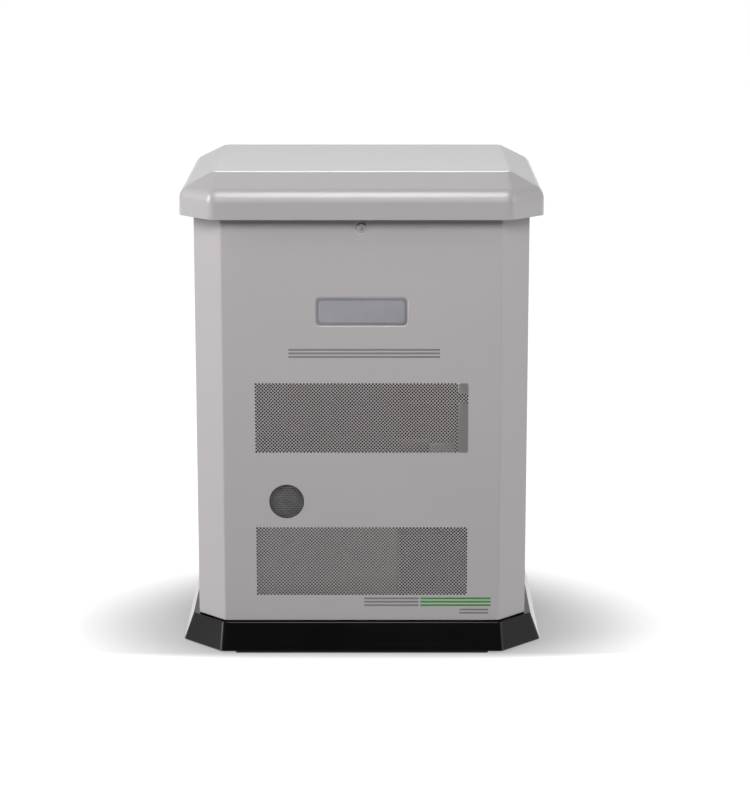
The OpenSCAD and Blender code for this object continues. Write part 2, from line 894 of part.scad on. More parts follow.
// ---- exhaust -------------------------------------------------------------------------

module exhaust_headers() {
    front_z = crank_z + port_drop - head_half/sqrt(2);
    rear_z = crank_z + port_drop;
    drop_y = -215;
    color(dark_steel) {
        difference() {
            bar_y(muffler_y1, crank_y - port_drop, bank_x_front, front_z, exhaust_pipe_r);
            on_bank(bank_x_front, -1) box([-100, -head_half, -100], [100, 300, 400]);
        }
        run([[bank_x_rear + head_half, crank_y + port_drop, rear_z],
             [rear_header_x, crank_y + port_drop, rear_z],
             [rear_header_x, drop_y, rear_z],
             [rear_header_x, drop_y, muffler_z1]], exhaust_pipe_r);
    }
}

module muffler() {
    wall = 2;
    leg = 24;
    color(zinc_steel) difference() {
        union() {
            box([muffler_x0, muffler_y0, muffler_z0], [muffler_x1, muffler_y1, muffler_z1]);
            for (x = [muffler_x0 + 40, muffler_x1 - 40])
                box([x - leg/2, muffler_y0 + 20, base_h], [x + leg/2, muffler_y1 - 20, muffler_z0 + over]);
            bar_y(guard_y + guard_t, muffler_y0 + over, outlet_x, outlet_z, tail_r);
        }
        box([muffler_x0 + wall, muffler_y0 + wall, muffler_z0 + wall],
            [muffler_x1 - wall, muffler_y1 - wall, muffler_z1 - wall]);
        bar_y(front_y, muffler_y0 - wall, outlet_x, outlet_z, tail_r - wall);
    }
}

module exhaust_guard() {
    guard_r = 36;
    slots = 7;
    slot_w = 4;
    slot_h = 40;
    slot_pitch = 8;
    color(dark_steel) difference() {
        bar_y(guard_y, guard_y + guard_t, outlet_x, outlet_z, guard_r);
        for (i = [0 : slots - 1])
            translate([outlet_x + (i - (slots - 1)/2)*slot_pitch - slot_w/2, guard_y - over,
                       outlet_z - slot_h/2])
                cube([slot_w, guard_t + 2*over, slot_h]);
    }
}

// ---- fuel ----------------------------------------------------------------------------

module gas_inlet() {
    pipe_r = 17;
    boss_r = 21;
    flange_r = 30;
    mouth_y = rear_y + 27;
    color("gold") difference() {
        union() {
            bar_y(regulator_y1, rear_y + over, gas_x, gas_z, pipe_r);
            bar_y(rear_y, rear_y + 4, gas_x, gas_z, flange_r);
            bar_y(rear_y, mouth_y, gas_x, gas_z, boss_r);
            box([gas_x - valve_half, valve_y - 20, gas_z - valve_half],
                [gas_x + valve_half, valve_y + 20, gas_z + valve_half]);
        }
        bar_y(rear_y + 2, mouth_y + over, gas_x, gas_z, gas_thread_r);
    }
}

module gas_valve_lever() {
    stem_r = 6;
    lever_z = 210;
    lever_t = 6;
    lever_len = 72;
    lever_half_w = 8;
    color(gas_yellow) {
        bar_z(gas_z + valve_half + 0.3, lever_z + lever_t, gas_x, valve_y, stem_r);
        translate([gas_x, valve_y, lever_z]) linear_extrude(lever_t)
            rotate(-90) link_outline(0, lever_len, lever_half_w);
    }
}

module gas_regulator() {
    foot_half = 15;
    color(cast_aluminium) {
        bar_y(regulator_y0, regulator_y1, gas_x, gas_z, regulator_r);
        bar_y(regulator_y0 + 28, regulator_y0 + 36, gas_x, gas_z, regulator_r + 4);
        bar_y(regulator_y0 - 12, regulator_y0 + over, gas_x, gas_z, 14);
        box([gas_x - foot_half, regulator_y0 + 12, base_h],
            [gas_x + foot_half, regulator_y1 - 12, gas_z - 20]);
    }
}

module fuel_hose() {
    hose_z = 470;
    hose_y = 118;
    color(moulded_black)
        run([[gas_x, regulator_y0 - 12, gas_z], [gas_x, hose_y, gas_z], [gas_x, hose_y, hose_z],
             [gas_x, crank_y, hose_z], [intake_x + 35, crank_y, hose_z]], hose_r);
}

// ---- alternator ----------------------------------------------------------------------

module alternator_frame() {
    plate_t = 6;
    adapter_r = 80;
    foot_z = engine_rail_z + rail_t;
    color(cast_aluminium) difference() {
        union() {
            bar_x(alternator_x0, alternator_x1, crank_y, crank_z, alternator_r);
            bar_x(case_x1, alternator_x0 + over, crank_y, crank_z, adapter_r);
            for (side = [-1, 1])
                box([alternator_x0 + 30, crank_y + side*rail_offset - rail_w/2, foot_z],
                    [alternator_x1 - 40, crank_y + side*rail_offset + rail_w/2, crank_z - 40]);
        }
        bar_x(alternator_x0 + plate_t, alternator_x1 + over, crank_y, crank_z, stator_r);
        bar_x(case_x1 - over, alternator_x0, crank_y, crank_z, 62);
        bar_x(case_x1 - over, alternator_x0 + 2*plate_t, crank_y, crank_z, tail_shaft_r + 5);
    }
}

module stator_windings() {
    color(copper) difference() {
        bar_x(alternator_x0 + 12, alternator_x1 - 25, crank_y, crank_z, stator_r);
        bar_x(alternator_x0, alternator_x1, crank_y, crank_z, stator_bore_r);
    }
}

module rotor() {
    color(copper) difference() {
        bar_x(alternator_x0 + 20, alternator_x1 - 30, crank_y, crank_z, rotor_r);
        bar_x(alternator_x0, alternator_x1, crank_y, crank_z, tail_shaft_r + 0.02);
    }
}

module alternator_end_bell() {
    slots = 10;
    color(cast_aluminium) difference() {
        bar_x(alternator_x1, alternator_x1 + bell_len, crank_y, crank_z, alternator_r - 8);
        bar_x(alternator_x1 - over, alternator_x1 + bell_len - 20, crank_y, crank_z, alternator_r - 14);
        bar_x(alternator_x1, alternator_x1 + bell_len + over, crank_y, crank_z, tail_shaft_r + running);
        for (i = [0 : slots - 1])
            translate([0, crank_y, crank_z]) rotate([i*360/slots, 0, 0])
                box([alternator_x1 + 10, -12, alternator_r - 20], [alternator_x1 + 30, 12, alternator_r]);
    }
}

// ---- battery -------------------------------------------------------------------------

module battery() {
    terminal_r = 8;
    color(engine_black) {
        translate([battery_x0, battery_y0, base_h]) cube([battery_w, battery_d, battery_h]);
        for (x = [battery_x0 + 30, battery_x0 + battery_w - 30])
            bar_z(base_h + battery_h - over, base_h + battery_h + 14, x, terminal_y, terminal_r);
    }
}

module battery_hold_down() {
    rod_r = 3;
    strap_w = 24;
    strap_t = 5;
    x = battery_x0 + battery_w/2;
    top = base_h + battery_h;
    front = battery_y0 - 5;
    back = battery_y0 + battery_d + 5;
    color(dark_steel) {
        box([x - strap_w/2, front - rod_r - 2, top], [x + strap_w/2, back + rod_r + 2, top + strap_t]);
        for (y = [front, back]) bar_z(base_h, top - gap, x, y, rod_r);
    }
}

module battery_cables() {
    cable_r = 5;
    top = base_h + battery_h + 14;
    plus_x = battery_x0 + 30;
    minus_x = battery_x0 + battery_w - 30;
    rail_mid_z = engine_rail_z + rail_t/2;
    front_rail_y = crank_y - rail_offset;
    color("red")
        run([[plus_x, terminal_y, top], [plus_x, terminal_y, 290], [-90, terminal_y, 290],
             [-90, terminal_y, 180], [starter_x1, terminal_y, 180]], cable_r);
    color(engine_black)
        run([[minus_x, terminal_y, top], [minus_x, terminal_y, 282], [minus_x, -70, 282],
             [minus_x, -70, rail_mid_z], [minus_x, front_rail_y, rail_mid_z],
             [alternator_x1 + 15, front_rail_y, rail_mid_z]], cable_r);
}

// ---- console -------------------------------------------------------------------------

// Side view of the console: a box with a sloped fascia
module console_outline(inset) {
    bend = inset*tan(fascia_slope/2);
    polygon([[console_y + inset, console_z + inset], [console_rear_y - inset, console_z + inset],
             [console_rear_y - inset, fascia_z + fascia_rise - inset],
             [console_y + fascia_run + bend, fascia_z + fascia_rise - inset],
             [console_y + inset, fascia_z - inset*tan(45 - fascia_slope/2)]]);
}

module control_box() {
    color(dark_steel) difference() {
        along_x(console_x0, side_x - sheet) console_outline(0);
        along_x(console_x0 + sheet, side_x - 2*sheet) console_outline(sheet);
    }
}

module controller() {
    plate_t = 8;
    color(moulded_black) difference() {
        on_fascia(90, 12) cube([160, 116, plate_t]);
        on_fascia(105, 62) translate([0, 0, plate_t - 2]) cube([100, 50, 3]);
        for (x = button_x)
            on_fascia(x, button_v) translate([0, 0, over]) cylinder(h = plate_t, r = button_r + 0.3);
    }
}

module push_button(x) {
    on_fascia(x, button_v) translate([0, 0, 3.5]) cylinder(h = 8, r = button_r);
}

module start_button() {
    color("green") push_button(button_x[0]);
}

module stop_button() {
    color("red") push_button(button_x[1]);
}

module mode_switch() {
    switch_r = 15;
    color(moulded_black) on_fascia(switch_x, switch_v) translate([0, 0, 0.3]) {
        cylinder(h = 8, r = switch_r);
        translate([-4, -switch_r + 1, 8]) cube([8, 2*switch_r - 2, 12]);
    }
}

module breaker_body() {
    half_w = 24;
    half_v = 32;
    height = 24;
    slot_half_w = 7;
    slot_half_v = 20;
    color(engine_black) on_fascia(breaker_x, breaker_v) difference() {
        box([-half_w, -half_v, 0], [half_w, half_v, height]);
        box([-slot_half_w, -slot_half_v, over], [slot_half_w, slot_half_v, height + over]);
    }
}

module breaker_lever() {
    half_t = 6;
    reach = 34;
    color("black") on_fascia(breaker_x, breaker_v) translate([-half_t, 0, breaker_pivot_w])
        rotate([20, 0, 0]) rotate([90, 0, 90]) linear_extrude(2*half_t) {
            circle(r = 7.5);
            translate([-3.5, 0]) square([7, reach]);
        }
}

// ---- assembly ------------------------------------------------------------------------

base_pan();
rear_panel();
side_panel_left();
side_panel_right();
body_vents();
corner_posts();
top_frame();
divider_wall();
hinge_frame_leaves();
hinge_pins();
enclosure_screws();
engine_rails();
vibration_mounts();
crankcase();
cylinder_front();
cylinder_rear();
valve_covers();
spark_plugs();
blower_housing();
intake_manifold();
fuel_mixer();
air_cleaner_box();
air_filter();
air_cleaner_cover();
oil_filter();
starter_motor();
exhaust_headers();
muffler();
exhaust_guard();
gas_inlet();
gas_regulator();
fuel_hose();
alternator_frame();
stator_windings();
alternator_end_bell();
battery();
battery_hold_down();
battery_cables();
control_box();
controller();
breaker_body();
stay_stud();
crankshaft();
flywheel();
rotor();
lid();
lid_liner();
hinge_lid_leaves();
front_panel();
front_vents();
lock_barrel();
lock_cam();
breaker_lever();
mode_switch();
start_button();
stop_button();
gas_valve_lever();
air_cleaner_knob();
oil_cap();
lid_stay();
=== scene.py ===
import json
import math
import bmesh
import bpy
import numpy as np
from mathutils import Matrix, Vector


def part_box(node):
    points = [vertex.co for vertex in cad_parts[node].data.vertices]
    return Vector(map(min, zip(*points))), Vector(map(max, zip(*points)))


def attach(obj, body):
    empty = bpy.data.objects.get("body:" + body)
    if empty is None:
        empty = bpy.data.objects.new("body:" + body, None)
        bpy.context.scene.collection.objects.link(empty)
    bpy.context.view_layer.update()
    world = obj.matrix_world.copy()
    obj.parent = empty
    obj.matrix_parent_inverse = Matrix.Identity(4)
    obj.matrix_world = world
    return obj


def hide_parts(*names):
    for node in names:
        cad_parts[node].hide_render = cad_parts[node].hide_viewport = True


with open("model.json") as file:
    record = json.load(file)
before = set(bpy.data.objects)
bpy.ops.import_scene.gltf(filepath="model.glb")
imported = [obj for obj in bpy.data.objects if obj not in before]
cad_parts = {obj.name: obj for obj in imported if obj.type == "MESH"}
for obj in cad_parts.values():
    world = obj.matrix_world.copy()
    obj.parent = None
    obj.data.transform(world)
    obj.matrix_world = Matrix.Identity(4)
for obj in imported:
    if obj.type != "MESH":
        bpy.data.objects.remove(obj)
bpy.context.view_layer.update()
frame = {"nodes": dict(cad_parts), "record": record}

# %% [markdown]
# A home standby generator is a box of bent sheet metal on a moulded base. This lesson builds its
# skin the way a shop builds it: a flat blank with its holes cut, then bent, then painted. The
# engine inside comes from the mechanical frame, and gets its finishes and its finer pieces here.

MM = 0.001
RECORD = frame["record"]
SLOT_OF = {part["node"]: part["material_slot"] for part in RECORD["subparts"]}
BODY_OF = {node: body for body, nodes in RECORD["behaviour"]["bodies"].items() for node in nodes}


def box(node):
    """Lowest and highest corner of a CAD node, as numpy arrays in metres."""
    low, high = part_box(node)
    return np.array(low), np.array(high)


def centre(node):
    """Middle of a CAD node's box."""
    low, high = box(node)
    return (low + high) / 2


# %% [markdown]
# The camera stands at head height a few metres away and looks slightly down, with a long lens
# that keeps the upright edges nearly parallel.

# %% Camera
EYE = (0.028, -5.476, 1.729)
LOOK_DOWN = math.radians(12.764)
camera = bpy.data.objects.new("camera", bpy.data.cameras.new("camera"))
camera.location = EYE
camera.rotation_euler = (math.pi / 2 - LOOK_DOWN, 0, 0)
camera.data.lens = 115.2
camera.data.clip_end = 60
bpy.context.scene.collection.objects.link(camera)
bpy.context.scene.camera = camera

# %% [markdown]
# Every new piece ends as one mesh. The helper below takes whole arrays of corners and of faces,
# which may have three, four or more corners each, and fills the mesh in a few calls.

# %% Mesh from arrays
SHARP_DEGREES = 32


def mesh_piece(name, points, polygons, sharp_degrees=SHARP_DEGREES):
    """A mesh object from an (n, 3) array and a list of (m, k) index arrays, one per face size."""
    sizes = np.concatenate([np.full(len(p), p.shape[1]) for p in polygons])
    loops = np.concatenate([np.asarray(p).ravel() for p in polygons]).astype(np.int32)
    data = bpy.data.meshes.new(name)
    data.vertices.add(len(points))
    data.vertices.foreach_set("co", np.asarray(points, np.float32).ravel())
    data.loops.add(len(loops))
    data.loops.foreach_set("vertex_index", loops)
    data.polygons.add(len(sizes))
    data.polygons.foreach_set("loop_start", (np.cumsum(sizes) - sizes).astype(np.int32))
    data.update(calc_edges=True)
    data.polygons.foreach_set("use_smooth", np.ones(len(sizes), bool))
    data.set_sharp_from_angle(angle=math.radians(sharp_degrees))
    data.validate()
    piece = bpy.data.objects.new(name, data)
    bpy.context.scene.collection.objects.link(piece)
    return piece


def finish_piece(piece, body, slot, replaced=(), finish_name=None):
    """Gives a piece the material of its finish or slot, puts it on its body, hides the CAD nodes it
    stands for.
    """
    piece.data.materials.clear()
    piece.data.materials.append(FINISHES[finish_name or slot])
    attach(piece, body)
    if replaced:
        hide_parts(*replaced)
    print(piece.name, len(piece.data.polygons), "faces on", body)
    return piece


# %% [markdown]
# Finishes come first. One function turns a paint maker's hex value into the linear numbers that a
# shader needs, and one adds a node with its settings and links. Texture scales are worked out
# from real sizes: a noise of scale s on coordinates in metres has features about 1/s metres wide.

# %% Material tools
def linear(hex_colour):
    """sRGB hex value to linear red, green, blue and alpha."""
    parts = np.array([int(hex_colour[i:i + 2], 16) for i in (1, 3, 5)]) / 255
    value = np.where(parts <= 0.04045, parts / 12.92, ((parts + 0.055) / 1.055) ** 2.4)
    return (*value.tolist(), 1.0)


def add_node(tree, kind, settings=None, **links):
    """Adds a node. Settings are attributes or input values, and links are input=output socket."""
    new = tree.nodes.new(kind)
    for key, value in (settings or {}).items():
        if key in new.inputs:
            new.inputs[key].default_value = value
        else:
            setattr(new, key, value)
    for key, socket in links.items():
        tree.links.new(new.inputs[key.replace("_", " ")], socket)
    return new


def scale_for(size_mm):
    """Noise scale whose features are about size_mm wide on coordinates in metres."""
    return 1000.0 / size_mm


def finish(name, colour, roughness, metallic=0.0, colour_drift=0.04, drift_mm=60.0,
           grain_mm=0.8, grain_depth_mm=0.02, rough_drift=0.08, stretch=(1, 1, 1), **sockets):
    """A painted, moulded or metal surface: a base colour that drifts a little over drift_mm,
    a roughness that drifts with it, and a fine relief of grain_mm and grain_depth_mm."""
    material = bpy.data.materials.new(name)
    material.use_nodes = True
    tree = material.node_tree
    shader = tree.nodes["Principled BSDF"]
    shader.inputs["Metallic"].default_value = metallic
    for key, value in sockets.items():
        shader.inputs[key.replace("_", " ")].default_value = value
    place = add_node(tree, "ShaderNodeTexCoord")
    turned = add_node(tree, "ShaderNodeMapping", {"Scale": stretch}, Vector=place.outputs["Object"])
    drift = add_node(tree, "ShaderNodeTexNoise", {"Scale": scale_for(drift_mm), "Detail": 3.0},
                     Vector=turned.outputs["Vector"])
    base = linear(colour)
    tone = add_node(tree, "ShaderNodeValToRGB", None, Fac=drift.outputs["Fac"])
    for stop, factor in ((0, 1 - colour_drift), (1, 1 + colour_drift)):
        tone.color_ramp.elements[stop].color = (*[min(c * factor, 1.0) for c in base[:3]], 1.0)
        tone.color_ramp.elements[stop].position = (0.3, 0.7)[stop]
    tree.links.new(shader.inputs["Base Color"], tone.outputs["Color"])
    gloss = add_node(tree, "ShaderNodeMapRange",
                     {"To Min": max(roughness - rough_drift, 0.02), "To Max": roughness + rough_drift},
                     Value=drift.outputs["Fac"])
    tree.links.new(shader.inputs["Roughness"], gloss.outputs["Result"])
    grain = add_node(tree, "ShaderNodeTexNoise", {"Scale": scale_for(grain_mm), "Detail": 2.0},
                     Vector=turned.outputs["Vector"])
    relief = add_node(tree, "ShaderNodeBump", {"Strength": 0.6, "Distance": grain_depth_mm * MM},
                      Height=grain.outputs["Fac"])
    tree.links.new(shader.inputs["Normal"], relief.outputs["Normal"])
    return material


# %% [markdown]
# The finishes themselves. Powder coat is a polyester film baked on steel: satin, with a faint
# orange-peel relief. The base is a black moulded polymer with a gloss skin. Castings keep the
# coarse skin of their sand mould, and zinc-plated steel is smooth with a soft cool sheen.

# %% The finishes
FINISHES = {
    "painted_sheet": finish("powder_coat_warm_grey", "#b5b1b2", 0.40, colour_drift=0.012,
                            drift_mm=240, grain_mm=1.6, grain_depth_mm=0.012, rough_drift=0.03,
                            Coat_Weight=0.15, Coat_Roughness=0.25),
    "moulded_lid": finish("gloss_coat_warm_grey", "#aeaaab", 0.34, colour_drift=0.012,
                          drift_mm=240, grain_mm=2.4, grain_depth_mm=0.010, rough_drift=0.03,
                          Coat_Weight=0.7, Coat_Roughness=0.20),
    "moulded_base": finish("gloss_black_moulded_polymer", "#070708", 0.20, colour_drift=0.15,
                           drift_mm=120, grain_mm=1.2, grain_depth_mm=0.02, rough_drift=0.05,
                           Specular_IOR_Level=0.35),
    "zinc_steel": finish("zinc_plated_steel", "#b9bcc0", 0.34, metallic=1.0, colour_drift=0.08,
                         drift_mm=14, grain_mm=0.5, grain_depth_mm=0.006),
    "dark_steel": finish("black_electrocoat", "#1b1c1e", 0.45, colour_drift=0.12, drift_mm=30,
                         grain_mm=0.7, grain_depth_mm=0.015),
    "machined_steel": finish("ground_steel", "#a3a5a8", 0.26, metallic=1.0, colour_drift=0.05,
                             drift_mm=6, grain_mm=0.4, grain_depth_mm=0.006, stretch=(1, 9, 9)),
    "cast_aluminium": finish("sand_cast_aluminium", "#a9abad", 0.52, metallic=1.0,
                             colour_drift=0.12, drift_mm=10, grain_mm=0.9, grain_depth_mm=0.06),
    # Painted shade: this steel is darker than bare aluminised steel, so the muffler stays dark behind
    # the lower vent.
    "aluminised_steel": finish("aluminised_steel", "#666563", 0.42, metallic=1.0,
                               colour_drift=0.14, drift_mm=22, grain_mm=2.2, grain_depth_mm=0.02),
    "exhaust_steel": finish("heat_tinted_steel", "#8d7c6a", 0.40, metallic=1.0,
                            colour_drift=0.30, drift_mm=45, grain_mm=0.8, grain_depth_mm=0.02),
    "guard_steel": finish("oxidised_steel_mesh", "#7c7a7c", 0.36, metallic=0.4,
                          colour_drift=0.25, drift_mm=16, grain_mm=0.5, grain_depth_mm=0.01),
    "black_plastic": finish("black_moulded_plastic", "#17181a", 0.48, colour_drift=0.10,
                            drift_mm=40, grain_mm=0.5, grain_depth_mm=0.03),
    "rubber": finish("black_rubber", "#121212", 0.68, colour_drift=0.15, drift_mm=25,
                     grain_mm=0.6, grain_depth_mm=0.03),
    "windings": finish("enamelled_copper", "#a5602a", 0.30, metallic=1.0, colour_drift=0.20,
                       drift_mm=4, grain_mm=0.9, grain_depth_mm=0.12, stretch=(0.2, 1, 1)),
    "brass": finish("turned_brass", "#c29a4d", 0.28, metallic=1.0, colour_drift=0.08,
                    drift_mm=8, grain_mm=0.4, grain_depth_mm=0.008, stretch=(1, 6, 1)),
    "foam": finish("acoustic_foam", "#26262a", 0.95, colour_drift=0.30, drift_mm=3,
                   grain_mm=1.1, grain_depth_mm=0.5, Sheen_Weight=0.2),
    "filter_paper": finish("resin_filter_paper", "#d9cda6", 0.85, colour_drift=0.06, drift_mm=8,
                           grain_mm=0.4, grain_depth_mm=0.03),
    "ceramic": finish("glazed_ceramic", "#ece9e0", 0.12, colour_drift=0.03, drift_mm=12,
                      grain_mm=2.0, grain_depth_mm=0.004, rough_drift=0.02),
    "filter_paint": finish("gloss_enamel_orange", "#bf4f16", 0.25, colour_drift=0.05, drift_mm=20,
                           grain_mm=1.2, grain_depth_mm=0.01),
    "yellow_plastic": finish("yellow_moulded_plastic", "#d9a514", 0.35, colour_drift=0.05,
                             drift_mm=15, grain_mm=0.5, grain_depth_mm=0.02),
    "red_plastic": finish("red_moulded_plastic", "#b3190f", 0.32, colour_drift=0.05, drift_mm=8,
                          grain_mm=0.4, grain_depth_mm=0.015),
    "green_plastic": finish("green_moulded_plastic", "#1d7f2c", 0.32, colour_drift=0.05,
                            drift_mm=8, grain_mm=0.4, grain_depth_mm=0.015),
    "print_grey": finish("printed_grey_film", "#7d7d7f", 0.45, colour_drift=0.02, drift_mm=30,
                         grain_mm=1.6, grain_depth_mm=0.006),
    "print_green": finish("printed_green_film", "#2f8a33", 0.45, colour_drift=0.02, drift_mm=30,
                          grain_mm=1.6, grain_depth_mm=0.006),
    "plate_frame": finish("nameplate_dark_grey_enamel", "#858388", 0.36, colour_drift=0.03,
                          drift_mm=30, grain_mm=1.0, grain_depth_mm=0.01),
    "plate_field": finish("nameplate_cool_grey_enamel", "#9b9ba1", 0.32, colour_drift=0.03,
                          drift_mm=30, grain_mm=1.0, grain_depth_mm=0.01),
    # Painted shade: the control box is charcoal so that it stays dark behind the front vents.
    "console_painted_shade": finish("charcoal_coat_as_painted_shade", "#2c2d2f", 0.42, colour_drift=0.06,
                            drift_mm=120, grain_mm=1.6, grain_depth_mm=0.012),
    "screen": finish("dark_display_glass", "#0b1216", 0.08, colour_drift=0.05, drift_mm=30,
                     grain_mm=2.0, grain_depth_mm=0.001, rough_drift=0.02),
    "red_cable": finish("red_cable_jacket", "#9c1410", 0.42, colour_drift=0.06, drift_mm=15,
                        grain_mm=0.6, grain_depth_mm=0.02),
}
print("finishes:", len(FINISHES))

# %% [markdown]
# The floor is white, with a painted shadow: its glow is dimmed in an oval round the base and
# raised just in front of it. The light is a large soft one from the upper left, a weaker one from
# the right, and a wide bank above the camera whose reflection draws the bright band along the
# lid's bend. The room behind the camera is dark, which keeps the glossy base black.

# %% Floor and light
bpy.context.scene.view_settings.view_transform = "Standard"
FLOOR_HALF = 14.0
floor_points = np.array([[-1, -1, 0], [1, -1, 0], [1, 1, 0], [-1, 1, 0]]) * FLOOR_HALF
floor = mesh_piece("floor", floor_points, [np.array([[0, 1, 2, 3]])])
floor_paint = bpy.data.materials.new("white_floor_with_painted_shadow")
floor_paint.use_nodes = True
floor_shader = floor_paint.node_tree.nodes["Principled BSDF"]
floor_shader.inputs["Base Color"].default_value = linear("#808080")
floor_shader.inputs["Roughness"].default_value = 0.9
floor_shader.inputs["Specular IOR Level"].default_value = 0.0
floor_shader.inputs["Emission Color"].default_value = (1, 1, 1, 1)
ground = floor_paint.node_tree
floor_place = add_node(ground, "ShaderNodeTexCoord")
PAINTED_SHADOW_REACH = (0.66, 0.50)    # half axes in metres of the soft shade round the base
# Painted shadow on the floor: its glow is lowest near the base and rises to full white outside the
# oval.
painted_shadow_oval = add_node(
    ground, "ShaderNodeMapping",
    {"Scale": (1 / PAINTED_SHADOW_REACH[0], 1 / PAINTED_SHADOW_REACH[1], 1), "Location": (0, 0.22, 0)},
    Vector=floor_place.outputs["Object"])
painted_shadow_distance = add_node(ground, "ShaderNodeVectorMath", {"operation": "LENGTH"})
ground.links.new(painted_shadow_distance.inputs[0], painted_shadow_oval.outputs["Vector"])
painted_shadow_glow = add_node(ground, "ShaderNodeMapRange",
                      {"From Min": 0.55, "From Max": 1.15, "To Min": 0.34, "To Max": 0.95,
                       "interpolation_type": "SMOOTHSTEP"}, Value=painted_shadow_distance.outputs["Value"])
floor_axes = add_node(ground, "ShaderNodeSeparateXYZ", None, Vector=floor_place.outputs["Object"])
# Painted light: the floor just in front of the base glows brighter, so no shade shows there.
painted_front_light = add_node(ground, "ShaderNodeMapRange",
                       {"From Min": -0.38, "From Max": -0.31, "To Min": 0.6, "To Max": 0.0,
                        "interpolation_type": "SMOOTHSTEP"}, Value=floor_axes.outputs["Y"])
floor_painted_light = add_node(ground, "ShaderNodeMath", {"operation": "ADD"})
ground.links.new(floor_painted_light.inputs[0], painted_shadow_glow.outputs["Result"])
ground.links.new(floor_painted_light.inputs[1], painted_front_light.outputs["Result"])
ground.links.new(floor_shader.inputs["Emission Strength"], floor_painted_light.outputs["Value"])
floor.data.materials.append(floor_paint)
floor.visible_diffuse = False
floor.visible_glossy = False


def soft_light(name, position, target, size, power, glossy=True, diffuse=True):
    """A rectangular area light (width, height) that faces a target."""
    lamp = bpy.data.objects.new(name, bpy.data.lights.new(name, "AREA"))
    lamp.data.shape = "RECTANGLE"
    lamp.data.size, lamp.data.size_y = size
    lamp.data.energy = power
    lamp.visible_glossy = glossy
    lamp.visible_diffuse = diffuse
    position, target = np.array(position), np.array(target)
    lamp.location = position
    away = position - target
    lamp.rotation_euler = (math.atan2(math.hypot(away[0], away[1]), away[2]), 0,
                           math.atan2(away[0], -away[1]))
    bpy.context.scene.collection.objects.link(lamp)
    return lamp


AIM, LID_AIM = (0, 0, 0.5), (0, -0.3, 1.0)
soft_light("key_light", (-4.4, -1.3, 2.9), AIM, (1.8, 3.2), 130)
soft_light("fill_light", (4.4, -1.5, 2.4), AIM, (1.8, 2.0), 22)
soft_light("front_bank", (0.0, -3.7, 3.05), AIM, (2.6, 1.5), 114, glossy=False)
soft_light("band_strip", (0.0, -1.2, 3.3), LID_AIM, (1.1, 1.6), 34, diffuse=False)
soft_light("edge_strip", (0.0, 2.7, 2.9), LID_AIM, (2.0, 0.8), 26, diffuse=False)

room = bpy.data.worlds.new("studio")
bpy.context.scene.world = room
room.use_nodes = True
air = room.node_tree
air.nodes.clear()
heading = add_node(air, "ShaderNodeTexCoord")
axes = add_node(air, "ShaderNodeSeparateXYZ", None, Vector=heading.outputs["Generated"])
from_front = add_node(air, "ShaderNodeMapRange",
                      {"From Min": -0.96, "From Max": -0.20, "To Min": 0.03, "To Max": 1.0,
                       "interpolation_type": "SMOOTHSTEP"}, Value=axes.outputs["Y"])
from_above = add_node(air, "ShaderNodeMapRange",
                      {"From Min": 0.35, "From Max": 0.95, "To Min": 0.75, "To Max": 0.15,
                       "interpolation_type": "SMOOTHSTEP"}, Value=axes.outputs["Z"])
strength = add_node(air, "ShaderNodeMath", {"operation": "MULTIPLY"})
air.links.new(strength.inputs[0], from_front.outputs["Result"])
air.links.new(strength.inputs[1], from_above.outputs["Result"])
seen = add_node(air, "ShaderNodeLightPath")
from_floor = add_node(air, "ShaderNodeMapRange",
                      {"From Min": -0.10, "From Max": 0.02, "To Min": 0.55, "To Max": 0.0,
                       "interpolation_type": "SMOOTHSTEP"}, Value=axes.outputs["Z"])
mirrored = add_node(air, "ShaderNodeMath", {"operation": "MULTIPLY_ADD"})
air.links.new(mirrored.inputs[0], from_floor.outputs["Result"])
air.links.new(mirrored.inputs[1], seen.outputs["Is Glossy Ray"])
air.links.new(mirrored.inputs[2], strength.outputs["Value"])
reflected = add_node(air, "ShaderNodeBackground", {"Color": (1, 1, 1, 1)},
                     Strength=mirrored.outputs["Value"])
backdrop = add_node(air, "ShaderNodeBackground", {"Color": (1, 1, 1, 1), "Strength": 1.0})
either = add_node(air, "ShaderNodeMixShader", None, Fac=seen.outputs["Is Camera Ray"])
air.links.new(either.inputs[1], reflected.outputs["Background"])
air.links.new(either.inputs[2], backdrop.outputs["Background"])
add_node(air, "ShaderNodeOutputWorld", None, Surface=either.outputs["Shader"])

# %% [markdown]
# Sheet metal starts as a flat blank. A blank here is a flat mesh in two coordinates, u across and
# v up. `thicken` copies it to the back face, and closes every free edge, so holes get their walls
# without being named. A `place` function then says where each point of the blank ends up.

# %% Blanks and sheets
def lines(*parts):
    """Sorted grid lines from numbers and arrays, joined where they lie within a micrometre."""
    values = np.sort(np.concatenate([np.atleast_1d(np.asarray(p, float)) for p in parts]))
    return values[np.concatenate([[True], np.diff(values) > 1e-6])]


def grid_cells(us, vs, holes=()):
    """Corners and quads of a grid on lines us and vs, less the cells inside the holes.

    A hole is (low u, high u, low v, high v)."""
    u, v = np.meshgrid(us, vs, indexing="ij")
    index = np.arange(u.size).reshape(u.shape)
    quads = np.stack([index[:-1, :-1], index[1:, :-1], index[1:, 1:], index[:-1, 1:]], -1)
    mid_u = ((us[1:] + us[:-1]) / 2)[:, None]
    mid_v = ((vs[1:] + vs[:-1]) / 2)[None, :]
    keep = np.ones((len(us) - 1, len(vs) - 1), bool)
    for u0, u1, v0, v1 in holes:
        keep &= ~((mid_u > u0) & (mid_u < u1) & (mid_v > v0) & (mid_v < v1))
    return np.stack([u.ravel(), v.ravel()], -1), quads[keep]


